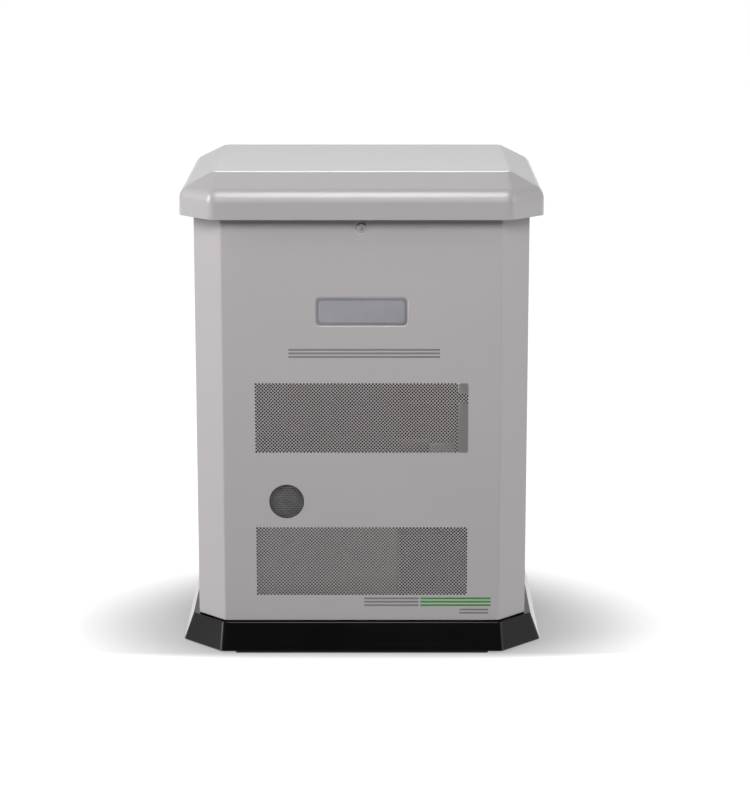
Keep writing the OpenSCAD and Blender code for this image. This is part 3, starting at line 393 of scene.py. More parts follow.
def weld(points, polygons, grid=1e-6):
    """Joins points that lie within a micrometre and drops the ones that no face uses."""
    first, inverse = np.unique(np.round(points / grid).astype(np.int64), axis=0,
                               return_index=True, return_inverse=True)[1:]
    inverse = inverse.ravel()
    polygons = [inverse[p] for p in polygons]
    used, compact = np.unique(np.concatenate([p.ravel() for p in polygons]), return_inverse=True)
    compact = compact.ravel()
    ends = np.cumsum([0] + [p.size for p in polygons])
    polygons = [compact[a:b].reshape(p.shape) for a, b, p in zip(ends, ends[1:], polygons)]
    return points[first][used], polygons


def free_edges(polygons):
    """Directed edges that only one face uses, as an (n, 2) array."""
    edges = np.concatenate([
        np.stack([p, np.roll(p, -1, axis=1)], -1).reshape(-1, 2) for p in polygons])
    span = edges.max() + 1
    code = edges[:, 0] * span + edges[:, 1]
    twin = edges[:, 1] * span + edges[:, 0]
    return edges[~np.isin(code, twin)]


def thicken(name, blank, polygons, thickness, place):
    """A closed plate: the blank at depth 0, its copy at the thickness, and walls on free edges.

    place(u, v, depth) returns an (n, 3) array. Faces run counter-clockwise as seen from in
    front, where u points right and v points up, and depth grows away from the viewer."""
    blank, polygons = weld(blank, polygons)
    front = place(blank[:, 0], blank[:, 1], np.zeros(len(blank)))
    back = place(blank[:, 0], blank[:, 1], np.full(len(blank), thickness))
    rim = free_edges(polygons)
    count = len(blank)
    walls = np.stack([rim[:, 1], rim[:, 0], rim[:, 0] + count, rim[:, 1] + count], -1)
    return mesh_piece(name, np.concatenate([front, back]),
                      [*polygons, *[p[:, ::-1] + count for p in polygons], walls])


def joined(*parts):
    """Several (points, quads) blanks as one."""
    points, quads, start = [], [], 0
    for p, q in parts:
        points.append(p)
        quads.append(q + start)
        start += len(p)
    return np.concatenate(points), [np.concatenate(quads)]


def round_hole(middle, radius, half, steps, rings=3):
    """Rings of quads from a square of that half size to a circle, with steps cells a side."""
    side = np.linspace(-1, 1, steps + 1)[:-1]
    ones = np.ones(steps)
    square = np.concatenate([np.column_stack([side, -ones]), np.column_stack([ones, side]),
                             np.column_stack([-side, ones]), np.column_stack([-ones, -side])])
    circle = square / np.linalg.norm(square, axis=1, keepdims=True)
    share = np.linspace(0, 1, rings + 1)[:, None, None]
    points = middle + square * half * (1 - share) + circle * radius * share
    count = 4 * steps
    index = np.arange((rings + 1) * count).reshape(rings + 1, count)
    following = np.roll(index, -1, axis=1)
    quads = np.stack([index[:-1], following[:-1], following[1:], index[1:]], -1).reshape(-1, 4)
    return points.reshape(-1, 2), quads


def square_about(middle, half):
    """The hole (low u, high u, low v, high v) that a square leaves in a grid."""
    return middle[0] - half, middle[0] + half, middle[1] - half, middle[1] + half


# %% [markdown]
# The perforated fields are a staggered pattern at 45 degrees. Each hole sits in a diamond tile
# whose corners are shared with its four neighbours, so the tiles join into one watertight net.
# A tile has four five-sided faces round an eight-sided hole, which is cheap enough for thousands.

# %% Perforated blank
HOLE_SHARE = 0.64     # hole diameter as a share of the pitch along a row
HOLE_PITCH = 7.15 * MM
ROW_STEP = 3.6 * MM
FIELD_EDGE = 0.4 * MM
VENT_SHEET = 1.0 * MM


def field_margin(width, height, pitch, step, columns, rows):
    """Quads between the zigzag outline of the tiles and the straight border of the field."""
    rising, zig, top = np.arange(rows), np.arange(2 * columns + 1), rows - 1
    first = (0.25 + 0.5 * (rising % 2)) * pitch
    left = np.stack([first, (rising + 1.0) * step], -1) + FIELD_EDGE
    right = left + [columns * pitch, 0]
    low = np.stack([first[0] + zig * pitch / 2, step * (1.0 - (zig % 2))], -1) + FIELD_EDGE
    high = np.stack([first[top] + zig * pitch / 2, step * (rows + (zig % 2))], -1) + FIELD_EDGE
    sides = [(low, low * [1, 0]), (right, right * [0, 1] + [width, 0]),
             (high[::-1], high[::-1] * [1, 0] + [0, height]), (left[::-1], left[::-1] * [0, 1])]
    points, quads, start = [], [], 0
    for inner, outer in sides:
        i = np.arange(len(inner) - 1) + start
        quads.append(np.stack([i + len(inner), i + len(inner) + 1, i + 1, i], -1))
        points += [inner, outer]
        start += 2 * len(inner)
    (x0, y0), (x1, y1) = low[0], low[-1]
    (x2, y2), (x3, y3) = high[-1], high[0]
    corners = [[(x0, 0), (x0, y0), (0, y0), (0, 0)], [(x1, 0), (width, 0), (width, y1), (x1, y1)],
               [(x2, y2), (width, y2), (width, height), (x2, height)],
               [(0, y3), (x3, y3), (x3, height), (0, height)]]
    quads.append(np.arange(16).reshape(4, 4) + start)
    points.append(np.array(corners).reshape(-1, 2))
    return np.concatenate(points), np.concatenate(quads)


def perforated(width, height, pitch=HOLE_PITCH, step=ROW_STEP, share=HOLE_SHARE):
    """Blank of a perforated field with its lower left corner at the origin. The pitch and the
    row step are stretched a little so that a whole number of holes fits."""
    columns, rows = int(width / pitch) - 1, int(height / step) - 1
    pitch, step = (width - 2 * FIELD_EDGE) / (columns + 1.0), (height - 2 * FIELD_EDGE) / (rows + 1.0)
    row, column = np.meshgrid(np.arange(rows), np.arange(columns), indexing="ij")
    offset = (row % 2) * 0.5
    hole = np.stack([(column + 0.75 + offset) * pitch, (row + 1.0) * step], -1) + FIELD_EDGE
    hole = hole.reshape(-1, 1, 2)
    corner = np.array([[1, 0], [0, 1], [-1, 0], [0, -1]]) * [pitch / 2, step]
    angle = np.arange(8) * math.pi / 4
    rim = np.stack([np.cos(angle), np.sin(angle)], -1) * share * pitch / 2
    points = np.concatenate([hole + corner, hole + rim], 1)
    k = np.arange(4)
    tile = np.stack([k, (k + 1) % 4, 4 + (2 * k + 2) % 8, 5 + 2 * k, 4 + 2 * k], -1)
    base = (np.arange(len(points)) * 12)[:, None, None]
    fives = (tile + base).reshape(-1, 5)
    points = points.reshape(-1, 2)
    extra, strips = field_margin(width, height, pitch, step, columns, rows)
    return np.concatenate([points, extra]), [fives, strips + len(points)]


def perforated_sheet(name, field, place):
    """Perforated plate that fills a rectangular hole (low u, high u, low v, high v)."""
    u0, u1, v0, v1 = field
    blank, faces = perforated(u1 - u0, v1 - v0)
    return thicken(name, blank + [u0, v0], faces, VENT_SHEET, place)


# %% [markdown]
# Mouldings, tubes and turned parts are all one outline carried along something. `rounded_path`
# rounds each corner of a path with an arc, and sets a point just beside each arc, so that flat
# stretches shade flat and only the bends catch the light. `loft` then joins rings of points.

# %% Rounded paths and lofts
def unit(vectors):
    """Vectors scaled to length one."""
    return vectors / np.maximum(np.linalg.norm(vectors, axis=-1, keepdims=True), 1e-12)


def rounded_path(corners, radii, steps=8, beside=1.5 * MM, closed=False):
    """Straight lines through the corners, each bend an arc of its own radius.

    With a and b the directions before and after a corner, an arc that has turned by t is at
    corner - a * reach + radius * (a * sin t + side * (1 - cos t)), side being square to a."""
    corners = np.asarray(corners, float)
    here = corners if closed else corners[1:-1]
    before = np.roll(corners, 1, 0) if closed else corners[:-2]
    after = np.roll(corners, -1, 0) if closed else corners[2:]
    a, b = unit(here - before), unit(after - here)
    cosine = np.clip((a * b).sum(-1, keepdims=True), -1, 1)
    turn = np.arccos(cosine)
    side = unit(b - a * cosine)
    radius = np.broadcast_to(radii, (len(here),))[:, None]
    reach = radius * np.tan(turn / 2)
    room = np.minimum(np.linalg.norm(here - before, axis=1), np.linalg.norm(after - here, axis=1))
    spare = np.clip((room[:, None] - 2 * reach) * 0.2, 1e-5, beside)
    swing = np.linspace(0, 1, steps + 1)[None, :, None] * turn[:, None]
    arc = (here - a * reach)[:, None] + radius[:, None] * (
        a[:, None] * np.sin(swing) + side[:, None] * (1 - np.cos(swing)))
    lead, trail = here - a * (reach + spare), here + b * (reach + spare)
    path = np.concatenate([lead[:, None], arc, trail[:, None]], 1).reshape(-1, corners.shape[1])
    return path if closed else np.concatenate([corners[:1], path, corners[-1:]])


def octagon(width, depth, chamfer, radius, steps=6):
    """Rounded octagon, counter-clockwise from above."""
    w, d, c = width / 2, depth / 2, chamfer
    corners = [(-w + c, -d), (w - c, -d), (w, -d + c), (w, d - c),
               (w - c, d), (-w + c, d), (-w, d - c), (-w, -d + c)]
    return rounded_path(corners, radius, steps, closed=True)


def rectangle(low, high, radius, steps=5):
    """Rounded rectangle from its low to its high corner, counter-clockwise."""
    (x0, y0), (x1, y1) = low, high
    return rounded_path([(x0, y0), (x1, y0), (x1, y1), (x0, y1)], radius, steps, closed=True)


def loft(name, rings, closed=False, sharp_degrees=SHARP_DEGREES):
    """A piece from rings (m, k, 3) joined in order, with end caps unless it closes on itself."""
    count, size = rings.shape[:2]
    index = np.arange(count * size).reshape(count, size)
    upper, lower = (np.roll(index, -1, 0), index) if closed else (index[1:], index[:-1])
    quads = np.stack([lower, np.roll(lower, -1, 1), np.roll(upper, -1, 1), upper], -1)
    caps = [] if closed else [index[:1, ::-1], index[-1:]]
    return mesh_piece(name, rings.reshape(-1, 3), [quads.reshape(-1, 4), *caps], sharp_degrees)


def plate(name, outline, place, near, far, edge=0.3 * MM):
    """A thin plate with an eased front edge: an outline (k, 2) from depth far to depth near."""
    middle = outline.mean(0)
    inward = unit(middle - outline) * edge
    levels = [(outline, far), (outline, near + edge), (outline + inward * 0.3, near + edge * 0.3),
              (outline + inward, near)]
    return loft(name, np.array([place(o[:, 0], o[:, 1], np.full(len(o), d)) for o, d in levels]))


def frames_along(path):
    """Two unit vectors square to a path at each point, carried along it without twist."""
    ahead = unit(np.gradient(path, axis=0))
    start = np.eye(3)[np.argmin(np.abs(ahead[0]))]
    across = [unit(np.cross(ahead[0], start))]
    for step in ahead[1:]:
        across.append(unit(across[-1] - step * (across[-1] @ step)))
    across = np.array(across)
    return across, np.cross(ahead, across)


def tube(name, path, radius, sides=16, sharp_degrees=60):
    """A round tube along a path (n, 3): centre + radius * (across cos t + over sin t)."""
    across, over = frames_along(path)
    angle = np.arange(sides) * 2 * math.pi / sides
    radius = np.broadcast_to(radius, (len(path),))[:, None, None]
    rings = path[:, None] + radius * (across[:, None] * np.cos(angle)[None, :, None]
                                      + over[:, None] * np.sin(angle)[None, :, None])
    return loft(name, rings, sharp_degrees=sharp_degrees)


def turned(name, profile, origin, axis, sides=32, closed=False):
    """A turned part: profile rows are (radius, distance along the axis from the origin)."""
    profile, axis = np.asarray(profile, float), unit(np.asarray(axis, float))
    across = unit(np.cross(axis, np.eye(3)[np.argmin(np.abs(axis))]))
    over = np.cross(axis, across)
    angle = np.arange(sides) * 2 * math.pi / sides
    circle = across * np.cos(angle)[:, None] + over * np.sin(angle)[:, None]
    rings = (np.asarray(origin) + profile[:, 1, None, None] * axis
             + profile[:, 0, None, None] * circle[None])
    return loft(name, rings, closed)


# %% [markdown]
# The lid is a shallow moulding. Its skirt is an octagon, its top a rectangle, and the slopes
# between them are one loft: as the rings climb, the corner cut shrinks to nothing, which makes
# the triangular corner facets. The upper bend is tight and the lower one is soft. Box modelling
# with bevels would also do, but a loft keeps every bend's radius in one place.

# %% Lid
lid_low, lid_high = box("lid")
liner_low, liner_high = box("lid_liner")
LID_SHEET = 2 * MM
SKIRT_CUT, TOP_CUT = 70 * MM, 7 * MM
SKIRT_ROUND, TOP_ROUND = 26 * MM, 7 * MM
LOWER_BEND, UPPER_BEND = 34 * MM, 20 * MM
flat_half = (liner_high - liner_low)[:2] / 2 + np.array([30, 26]) * MM
skirt_half = (lid_high - lid_low)[:2] / 2
bend_z = box("hinge_lid_leaves")[1][2] + 14 * MM
mean_run = float(np.mean(skirt_half - flat_half))
lid_profile = rounded_path(
    [(0, lid_low[2]), (0, bend_z), (mean_run, lid_high[2]), (1.5 * mean_run, lid_high[2])],
    [LOWER_BEND, UPPER_BEND], steps=10)


def lid_ring(across, height, inset=0.0):
    """Outline of the lid where its profile is (across, height): across runs from 0 at the
    skirt to mean_run at the flat top, and shifts half size, corner cut and rounding with it."""
    share = min(across / mean_run, 1.0)
    half = skirt_half + (flat_half - skirt_half) * across / mean_run - inset
    cut = SKIRT_CUT + (TOP_CUT - SKIRT_CUT) * share
    ring = octagon(2 * half[0], 2 * half[1], cut, SKIRT_ROUND + (TOP_ROUND - SKIRT_ROUND) * share)
    return np.column_stack([ring, np.full(len(ring), height)])


outer = np.array([lid_ring(x, z) for x, z in lid_profile])
inner = np.array([lid_ring(x, z - (LID_SHEET if x > 0 else 0), LID_SHEET) for x, z in lid_profile])
lid = loft("lid_shell", np.concatenate([inner[::-1], outer]))
finish_piece(lid, "lid", "painted_sheet", ["lid"], "moulded_lid")

# %% [markdown]
# Acoustic foam lines the lid. Its convoluted face is a product of two cosines, peaks and dips in
# turn, which is how the real sheet comes off the profile cutter.

# %% Lid foam
FOAM_PERIOD = 24 * MM


def foam_pad(name, low, high, samples=8):
    """Convoluted foam in a box: the face height is the middle plus a cosine product."""
    size = high - low
    counts = np.maximum(np.round(size[:2] / FOAM_PERIOD), 1)
    us = np.linspace(low[0], high[0], int(counts[0]) * samples + 1)
    vs = np.linspace(low[1], high[1], int(counts[1]) * samples + 1)
    blank, quads = grid_cells(us, vs)

    def place(u, v, depth):
        wave = (np.cos((u - low[0]) / size[0] * counts[0] * 2 * math.pi)
                * np.cos((v - low[1]) / size[1] * counts[1] * 2 * math.pi))
        face = low[2] + size[2] * (0.42 - 0.40 * wave)
        return np.column_stack([u, -v, np.where(depth > 0, high[2], face)])

    return thicken(name, blank, [quads], size[2], place)


finish_piece(foam_pad("lid_foam", liner_low, liner_high), "lid", "foam", ["lid_liner"])

# %% [markdown]
# The front panel is one blank, cut flat and then bent at both sides to wrap the corners. In the
# bend the outer skin follows an arc, and depth is measured inwards from it, so the sheet keeps
# its thickness round the corner. The badge recess and the dish round the lock are pressed: a
# relief function adds to the depth, and front and back move together.

# %% Bending a blank
panel_low, panel_high = box("front_panel")
rear_low, rear_high = box("rear_panel")
SHEET = 2 * MM
BEND_ROUND = 7 * MM
TURN = math.pi / 4
wrap = panel_high[1] - panel_low[1]
flat_x = panel_high[0] - wrap
bend_start = flat_x - BEND_ROUND * math.tan(TURN / 2)


def wrapped(u, depth):
    """Across and back distances of a sheet bent by 45 degrees at both sides of its flat."""
    past = np.abs(u) - bend_start
    angle = np.clip(past / BEND_ROUND, 0, TURN)
    beyond = np.maximum(past - BEND_ROUND * TURN, 0)
    across = np.minimum(np.abs(u), bend_start) + BEND_ROUND * np.sin(angle)
    across += beyond * math.cos(TURN) - depth * np.sin(angle)
    back = BEND_ROUND * (1 - np.cos(angle)) + beyond * math.sin(TURN) + depth * np.cos(angle)
    return np.sign(u) * across, back


def bend_lines():
    """Blank lines on one side: the bend's segments, a line beside each end, and the edge."""
    arc = np.linspace(0, BEND_ROUND * TURN, 7)
    edge = arc[-1] + wrap * math.sqrt(2) - BEND_ROUND * math.tan(TURN / 2)
    return bend_start + lines(-1.5 * MM, arc, arc[-1] + 1.5 * MM, edge)


def smooth_step(x):
    """0 below 0, 1 above 1, and an S-shaped rise between."""
    x = np.clip(x, 0, 1)
    return x * x * (3 - 2 * x)


def inside_rectangle(u, v, middle, half, radius):
    """Distance inside a rounded rectangle, negative outside it."""
    qu = np.abs(u - middle[0]) - half[0] + radius
    qv = np.abs(v - middle[1]) - half[1] + radius
    outside = np.hypot(np.maximum(qu, 0), np.maximum(qv, 0))
    return radius - outside - np.minimum(np.maximum(qu, qv), 0)


lock = centre("lock_barrel")
BADGE_MIDDLE = np.array([0.0, 0.734])
BADGE_HALF = np.array([98, 32]) * MM
BADGE_DEPTH = 1.3 * MM
BADGE_WALL = 1.8 * MM
DISH_MIDDLE = lock[[0, 2]] + np.array([-5, -1]) * MM
DISH_R = 13.5 * MM
DISH_DEPTH = 2.2 * MM


def relief(u, v):
    """Pressed depth of the front: the badge recess and the dish beside the lock."""
    badge = smooth_step(inside_rectangle(u, v, BADGE_MIDDLE, BADGE_HALF, 12 * MM) / BADGE_WALL)
    reach = np.hypot(u - DISH_MIDDLE[0], v - DISH_MIDDLE[1]) / DISH_R
    return BADGE_DEPTH * badge + DISH_DEPTH * smooth_step((1 - reach) * 2.2)


def front_place(u, v, depth):
    """Blank point to the front of the body: u across, v up."""
    across, back = wrapped(u, depth + relief(u, v))
    return np.column_stack([across, panel_low[1] + back, v])


def rear_place(u, v, depth):
    """Blank point to the rear of the body, seen from behind."""
    across, back = wrapped(u, depth)
    return np.column_stack([-across, rear_high[1] - back, v])


# %% Front panel
FIELD_H = 154 * MM
vent_low, vent_high = box("front_vents")
front_fields = [(vent_low[0], vent_high[0], vent_low[2], vent_low[2] + FIELD_H),
                (vent_low[0], vent_high[0], vent_high[2] - FIELD_H, vent_high[2])]
outlet = centre("exhaust_guard")[[0, 2]]
OUTLET_R, OUTLET_HALF, OUTLET_STEPS = 37 * MM, 44 * MM, 16
LOCK_HOLE_R, LOCK_HALF, LOCK_STEPS = 9.7 * MM, 17 * MM, 34
badge_field = (BADGE_MIDDLE[0] - BADGE_HALF[0] - 2 * MM, BADGE_MIDDLE[0] + BADGE_HALF[0] + 2 * MM,
               BADGE_MIDDLE[1] - BADGE_HALF[1] - 2 * MM, BADGE_MIDDLE[1] + BADGE_HALF[1] + 2 * MM)
outlet_cells = outlet[:, None] + np.linspace(-OUTLET_HALF, OUTLET_HALF, OUTLET_STEPS + 1)
lock_cells = lock[[0, 2], None] + np.linspace(-LOCK_HALF, LOCK_HALF, LOCK_STEPS + 1)
badge_us, badge_vs = [np.arange(a, b + MM / 2, MM) for a, b in (badge_field[:2], badge_field[2:])]
holes = [*front_fields, badge_field, square_about(outlet, OUTLET_HALF),
         square_about(lock[[0, 2]], LOCK_HALF)]
us = lines(bend_lines(), -bend_lines(), *[h[:2] for h in holes], outlet_cells[0], lock_cells[0],
           badge_us)
vs = lines(panel_low[2], panel_high[2], *[h[2:] for h in holes], outlet_cells[1], lock_cells[1],
           badge_vs)
front = thicken("front_sheet", *joined(
    grid_cells(us, vs, holes), grid_cells(badge_us, badge_vs),
    round_hole(outlet, OUTLET_R, OUTLET_HALF, OUTLET_STEPS),
    round_hole(lock[[0, 2]], LOCK_HOLE_R, LOCK_HALF, LOCK_STEPS, 12)), SHEET, front_place)
finish_piece(front, "front_panel", "painted_sheet", ["front_panel"])
for name, field, replaced in zip(("front_vent_lower", "front_vent_upper"), front_fields,
                                 (["front_vents"], [])):
    finish_piece(perforated_sheet(name, field, front_place), "front_panel", "painted_sheet",
                 replaced)

# %% [markdown]
# The panel's top and bottom edges turn inwards as flanges, which stiffen it and give the lock
# and the base something to bear on. Each is an L section with a small bend, carried across.

# %% Panel flanges
FLANGE = 11 * MM


def flange_strip(name, height, rise, span, face_y, inward):
    """A flange strip: a plate at one height that reaches inwards from the sheet."""
    y0, y1 = sorted((face_y + inward * SHEET, face_y + inward * (SHEET + FLANGE)))
    section = rectangle((y0, height), (y1, height + rise), 0.8 * MM, 3)
    rings = np.array([np.column_stack([np.full(len(section), x), section]) for x in span])
    return loft(name, rings)


flange_span = (-flat_x + 10 * MM, flat_x - 10 * MM)
for name, height in (("front_flange_lower", panel_low[2]), ("front_flange_upper",
                                                            panel_high[2] - SHEET)):
    strip = flange_strip(name, height, SHEET, flange_span, panel_low[1], 1)
    finish_piece(strip, "front_panel", "painted_sheet")

# %% [markdown]
# The nameplate is blank: a dark enamelled frame with a cooler grey field, set in the recess. The
# maker's printing on such a cabinet is replaced by plain pinstripes, three to a group.

# %% Nameplate and stripes
FRAME_INSET, FIELD_INSET = 3.0 * MM, 9.0 * MM


def flat_front(u, v, depth):
    """A point in front of the panel's flat face, with no pressing."""
    return np.column_stack([u, panel_low[1] + depth, v])


for name, inset, near, finish_name in (
        ("nameplate_frame", FRAME_INSET, BADGE_DEPTH - 0.5 * MM, "plate_frame"),
        ("nameplate_field", FIELD_INSET, BADGE_DEPTH - 0.8 * MM, "plate_field")):
    ring = rectangle(BADGE_MIDDLE - BADGE_HALF + inset, BADGE_MIDDLE + BADGE_HALF - inset,
                     8 * MM, 8)
    badge = plate(name, ring, flat_front, near, BADGE_DEPTH + 0.5 * MM)
    finish_piece(badge, "front_panel", "painted_sheet", (), finish_name)

PRINT_FILM = 0.15 * MM
STRIPE_GROUPS = {
    # name: (low x, high x, low z, high z, stripes, finish)
    "stripe_centre": (-153, 164, 636, 655, 3, "print_grey"),
    "stripe_lower_grey": (5, 121, 94, 113, 3, "print_grey"),
    "stripe_lower_green": (125, 275, 94, 113, 3, "print_green"),
    "stripe_model": (208, 270, 77, 88, 2, "print_grey"),
}
for name, (x0, x1, z0, z1, count, finish_name) in STRIPE_GROUPS.items():
    height = (z1 - z0) / (2 * count - 1)
    for row in range(count):
        low = np.array([x0, z0 + 2 * row * height]) * MM
        high = np.array([x1, z0 + (2 * row + 1) * height]) * MM
        film = plate(f"{name}_{row + 1}", rectangle(low, high, 0.8 * MM, 3), flat_front,
                     -PRINT_FILM, PRINT_FILM, 0.1 * MM)
        finish_piece(film, "front_panel", "painted_sheet", (), finish_name)

# %% [markdown]
# The lock is a quarter-turn barrel. Its housing is a turned ring with an eased lip, and the key
# plug inside it is the mechanical part that turns with the cam.

# %% Lock housing
RING_R, BODY_R, PLUG_R = 9.0 * MM, 7.6 * MM, 6.08 * MM
ring_profile = [(PLUG_R, -2.0), (PLUG_R + 0.2 * MM, -2.6), (PLUG_R + 0.9 * MM, -3.0),
                (RING_R - 1.3 * MM, -2.8), (RING_R - 0.5 * MM, -2.2), (RING_R, -1.2),
                (RING_R, 1.2), (BODY_R, 1.2), (BODY_R, 26), (PLUG_R, 26)]
housing = turned("lock_housing", [(r, y * MM) for r, y in ring_profile],
                 (lock[0], panel_low[1], lock[2]), (0, 1, 0), 40, closed=True)
finish_piece(housing, "front_panel", "zinc_steel", ["lock_barrel"])

# %% [markdown]
# Side and rear panels are blanks too. The side sheets are flat, and the rear one wraps like the
# front, with a round hole for the gas pipe and one for the conduit.

# %% Side and rear panels
side_low, side_high = box("side_panel_left")
body_vent_low, body_vent_high = box("body_vents")
SIDE_FIELD_HALF = 170 * MM
side_field = (-SIDE_FIELD_HALF, SIDE_FIELD_HALF, body_vent_low[2], body_vent_high[2])


def side_place(side):
    """Blank point to a side of the body, seen from outside: -1 is the left, 1 the right."""
    def place(u, v, depth):
        return np.column_stack([side * (panel_high[0] - depth), side * u, v])
    return place


side_us = lines(side_low[1], side_high[1], side_field[:2])
side_vs = lines(side_low[2], side_high[2], side_field[2:])
for side, word in ((-1, "left"), (1, "right")):
    blank, quads = grid_cells(side_us, side_vs, [side_field])
    skin = thicken(f"side_sheet_{word}", blank, [quads], SHEET, side_place(side))
    finish_piece(skin, "enclosure", "painted_sheet", [f"side_panel_{word}"])
    grille = perforated_sheet(f"side_vent_{word}", side_field, side_place(side))
    finish_piece(grille, "enclosure", "painted_sheet")

gas = centre("gas_inlet")[[0, 2]]
pipe, conduit = np.array([-gas[0], gas[1]]), np.array([gas[0], gas[1]])
PIPE_HOLE_R, CONDUIT_R, ROUND_HALF, ROUND_STEPS = 17.2 * MM, 22.2 * MM, 28 * MM, 10
rear_field = (vent_low[0], vent_high[0], body_vent_low[2], body_vent_high[2])
rear_holes = [rear_field, square_about(pipe, ROUND_HALF), square_about(conduit, ROUND_HALF)]
ports = np.linspace(-ROUND_HALF, ROUND_HALF, ROUND_STEPS + 1)
rear_us = lines(bend_lines(), -bend_lines(), rear_field[:2], pipe[0] + ports, conduit[0] + ports)
rear_vs = lines(rear_low[2], rear_high[2], rear_field[2:], gas[1] + ports)
rear = thicken("rear_sheet", *joined(
    grid_cells(rear_us, rear_vs, rear_holes), round_hole(pipe, PIPE_HOLE_R, ROUND_HALF, ROUND_STEPS),
    round_hole(conduit, CONDUIT_R, ROUND_HALF, ROUND_STEPS)), SHEET, rear_place)
finish_piece(rear, "enclosure", "painted_sheet", ["rear_panel"])
finish_piece(perforated_sheet("rear_vent", rear_field, rear_place), "enclosure", "painted_sheet",
             ["body_vents"])
finish_piece(flange_strip("rear_flange", rear_low[2], SHEET, flange_span, rear_high[1], -1),
             "enclosure", "painted_sheet")

# %% [markdown]
# The base is a hollow moulding with battered sides. Its shell is one section carried round the
# octagon: up the outside, over a soft shoulder, in across the rim and down to the deck. The deck
# is a plate with the anchor holes, and a lattice of ribs stands under it.

# %% Base
base_low, base_high = box("base_pan")
FOOT_H = 3 * MM
BATTER, FRONT_BATTER = 20.5 * MM, 27 * MM
GROUND_CUT, CUT_LOSS = 86 * MM, 17 * MM
BASE_ROUND = 14 * MM
DECK, WALL, RIM = 12 * MM, 9 * MM, 58 * MM
base_size = (base_high - base_low)[:2]
top_z = base_high[2]
wall_top = (WALL + BATTER * (1 - DECK / (top_z - FOOT_H)), top_z - DECK)
section = rounded_path(
    [wall_top, (WALL, FOOT_H), (0, FOOT_H), (BATTER, top_z), (RIM, top_z), (RIM, top_z - DECK),
     wall_top],
    [1 * MM, 1.5 * MM, 2.5 * MM, 1 * MM, 1 * MM], steps=5, beside=0.8 * MM)[:-1]


def base_ring(inset, height):
    """Outline of the base at an inset from its foot; the corner cut shrinks with the batter,
    and the front and rear lean in more than the sides."""
    share = min(inset / BATTER, 1)
    cut = GROUND_CUT - CUT_LOSS * share - 0.586 * max(inset - BATTER, 0)
    deeper = inset + share * (FRONT_BATTER - BATTER)
    ring = octagon(base_size[0] - 2 * inset, base_size[1] - 2 * deeper, cut, BASE_ROUND)
    return np.column_stack([ring, np.full(len(ring), height)])


shell = loft("base_shell", np.array([base_ring(i, z) for i, z in section]), closed=True)
finish_piece(shell, "enclosure", "moulded_base", ["base_pan"])

ANCHOR = np.array([300, 190]) * MM
ANCHOR_R, ANCHOR_HALF, ANCHOR_STEPS = 6 * MM, 16 * MM, 6
RIB_PITCH, RIB_POCKET = 100 * MM, 88 * MM
deck_half = base_size / 2 - RIM - np.array([0.5, 0.5]) * MM - [0, FRONT_BATTER - BATTER]
anchors = [ANCHOR * sign for sign in ((-1, -1), (1, -1), (1, 1), (-1, 1))]


def level_place(height):
    """Blank point to a level plate whose upper face is at a height, seen from above."""
    return lambda u, v, depth: np.column_stack([u, v, height - depth])


cells = np.linspace(-ANCHOR_HALF, ANCHOR_HALF, ANCHOR_STEPS + 1)
deck_us = lines([-deck_half[0], deck_half[0]], cells + ANCHOR[0], cells - ANCHOR[0])
deck_vs = lines([-deck_half[1], deck_half[1]], cells + ANCHOR[1], cells - ANCHOR[1])
deck = thicken("base_deck", *joined(
    grid_cells(deck_us, deck_vs, [square_about(a, ANCHOR_HALF) for a in anchors]),
    *[round_hole(a, ANCHOR_R, ANCHOR_HALF, ANCHOR_STEPS) for a in anchors]), DECK,
    level_place(top_z - 0.2 * MM))
finish_piece(deck, "enclosure", "moulded_base")

mid_us, mid_vs = [np.arange(-n, n + 1) * RIB_PITCH for n in (3, 2)]
RIB_STEP = 6 * MM
rib_us = lines(np.arange(-61, 62) * RIB_STEP, mid_us - RIB_POCKET / 2, mid_us + RIB_POCKET / 2)
rib_vs = lines(np.arange(-49, 50) * RIB_STEP, mid_vs - RIB_POCKET / 2, mid_vs + RIB_POCKET / 2)
pockets = [square_about((a, b), RIB_POCKET / 2) for a in mid_us for b in mid_vs]
rib_points, rib_quads = grid_cells(rib_us, rib_vs, pockets)
reach = np.abs(rib_points[rib_quads]).sum(2).max(1)
within = reach < (base_size / 2 - BATTER).sum() - GROUND_CUT + CUT_LOSS - 8 * MM
ribs = thicken("base_ribs", rib_points, [rib_quads[within]], top_z - DECK - FOOT_H - 2 * MM,
               level_place(top_z - DECK))
finish_piece(ribs, "enclosure", "moulded_base")

FOOT_HALF = np.array([270, 30]) * MM
for side, word in ((-1, "front"), (1, "rear")):
    middle = np.array([0, side * (base_size[1] / 2 - 31 * MM)])
    ring = rectangle(middle - FOOT_HALF, middle + FOOT_HALF, 6 * MM)
    foot = plate(f"base_foot_{word}", ring, level_place(0),
                 -FOOT_H - 2 * MM, 0, 0.8 * MM)
    finish_piece(foot, "enclosure", "moulded_base")
for number, (x, y) in enumerate(anchors):
    boss = turned(f"anchor_boss_{number + 1}", [(r * MM, z * MM) for r, z in (
        (6, 3.5), (6.6, 3), (17.2, 3), (18, 3.8), (18, 47.5), (6, 47.5))],
        (x, y, 0), (0, 0, 1), 32, closed=True)
    finish_piece(boss, "enclosure", "moulded_base")

# %% [markdown]
# A perforated steel guard sits behind the outlet. It is a square plate whose middle is domed
# towards the front; the sheet hides its corners. The dome is a smooth bump in the place function.

# %% Exhaust guard
guard_low = box("exhaust_guard")[0]
GUARD_HALF = 42 * MM
GUARD_SHEET = 0.8 * MM
DOME = 3.0 * MM


def guard_place(u, v, depth):
    """Point of the guard plate, domed forward by a smooth bump inside the outlet's radius."""
    reach = np.hypot(u - outlet[0], v - outlet[1]) / OUTLET_R
    rise = DOME * smooth_step(1.15 - reach)
    return np.column_stack([u, guard_low[1] + 1.2 * MM - rise + depth, v])


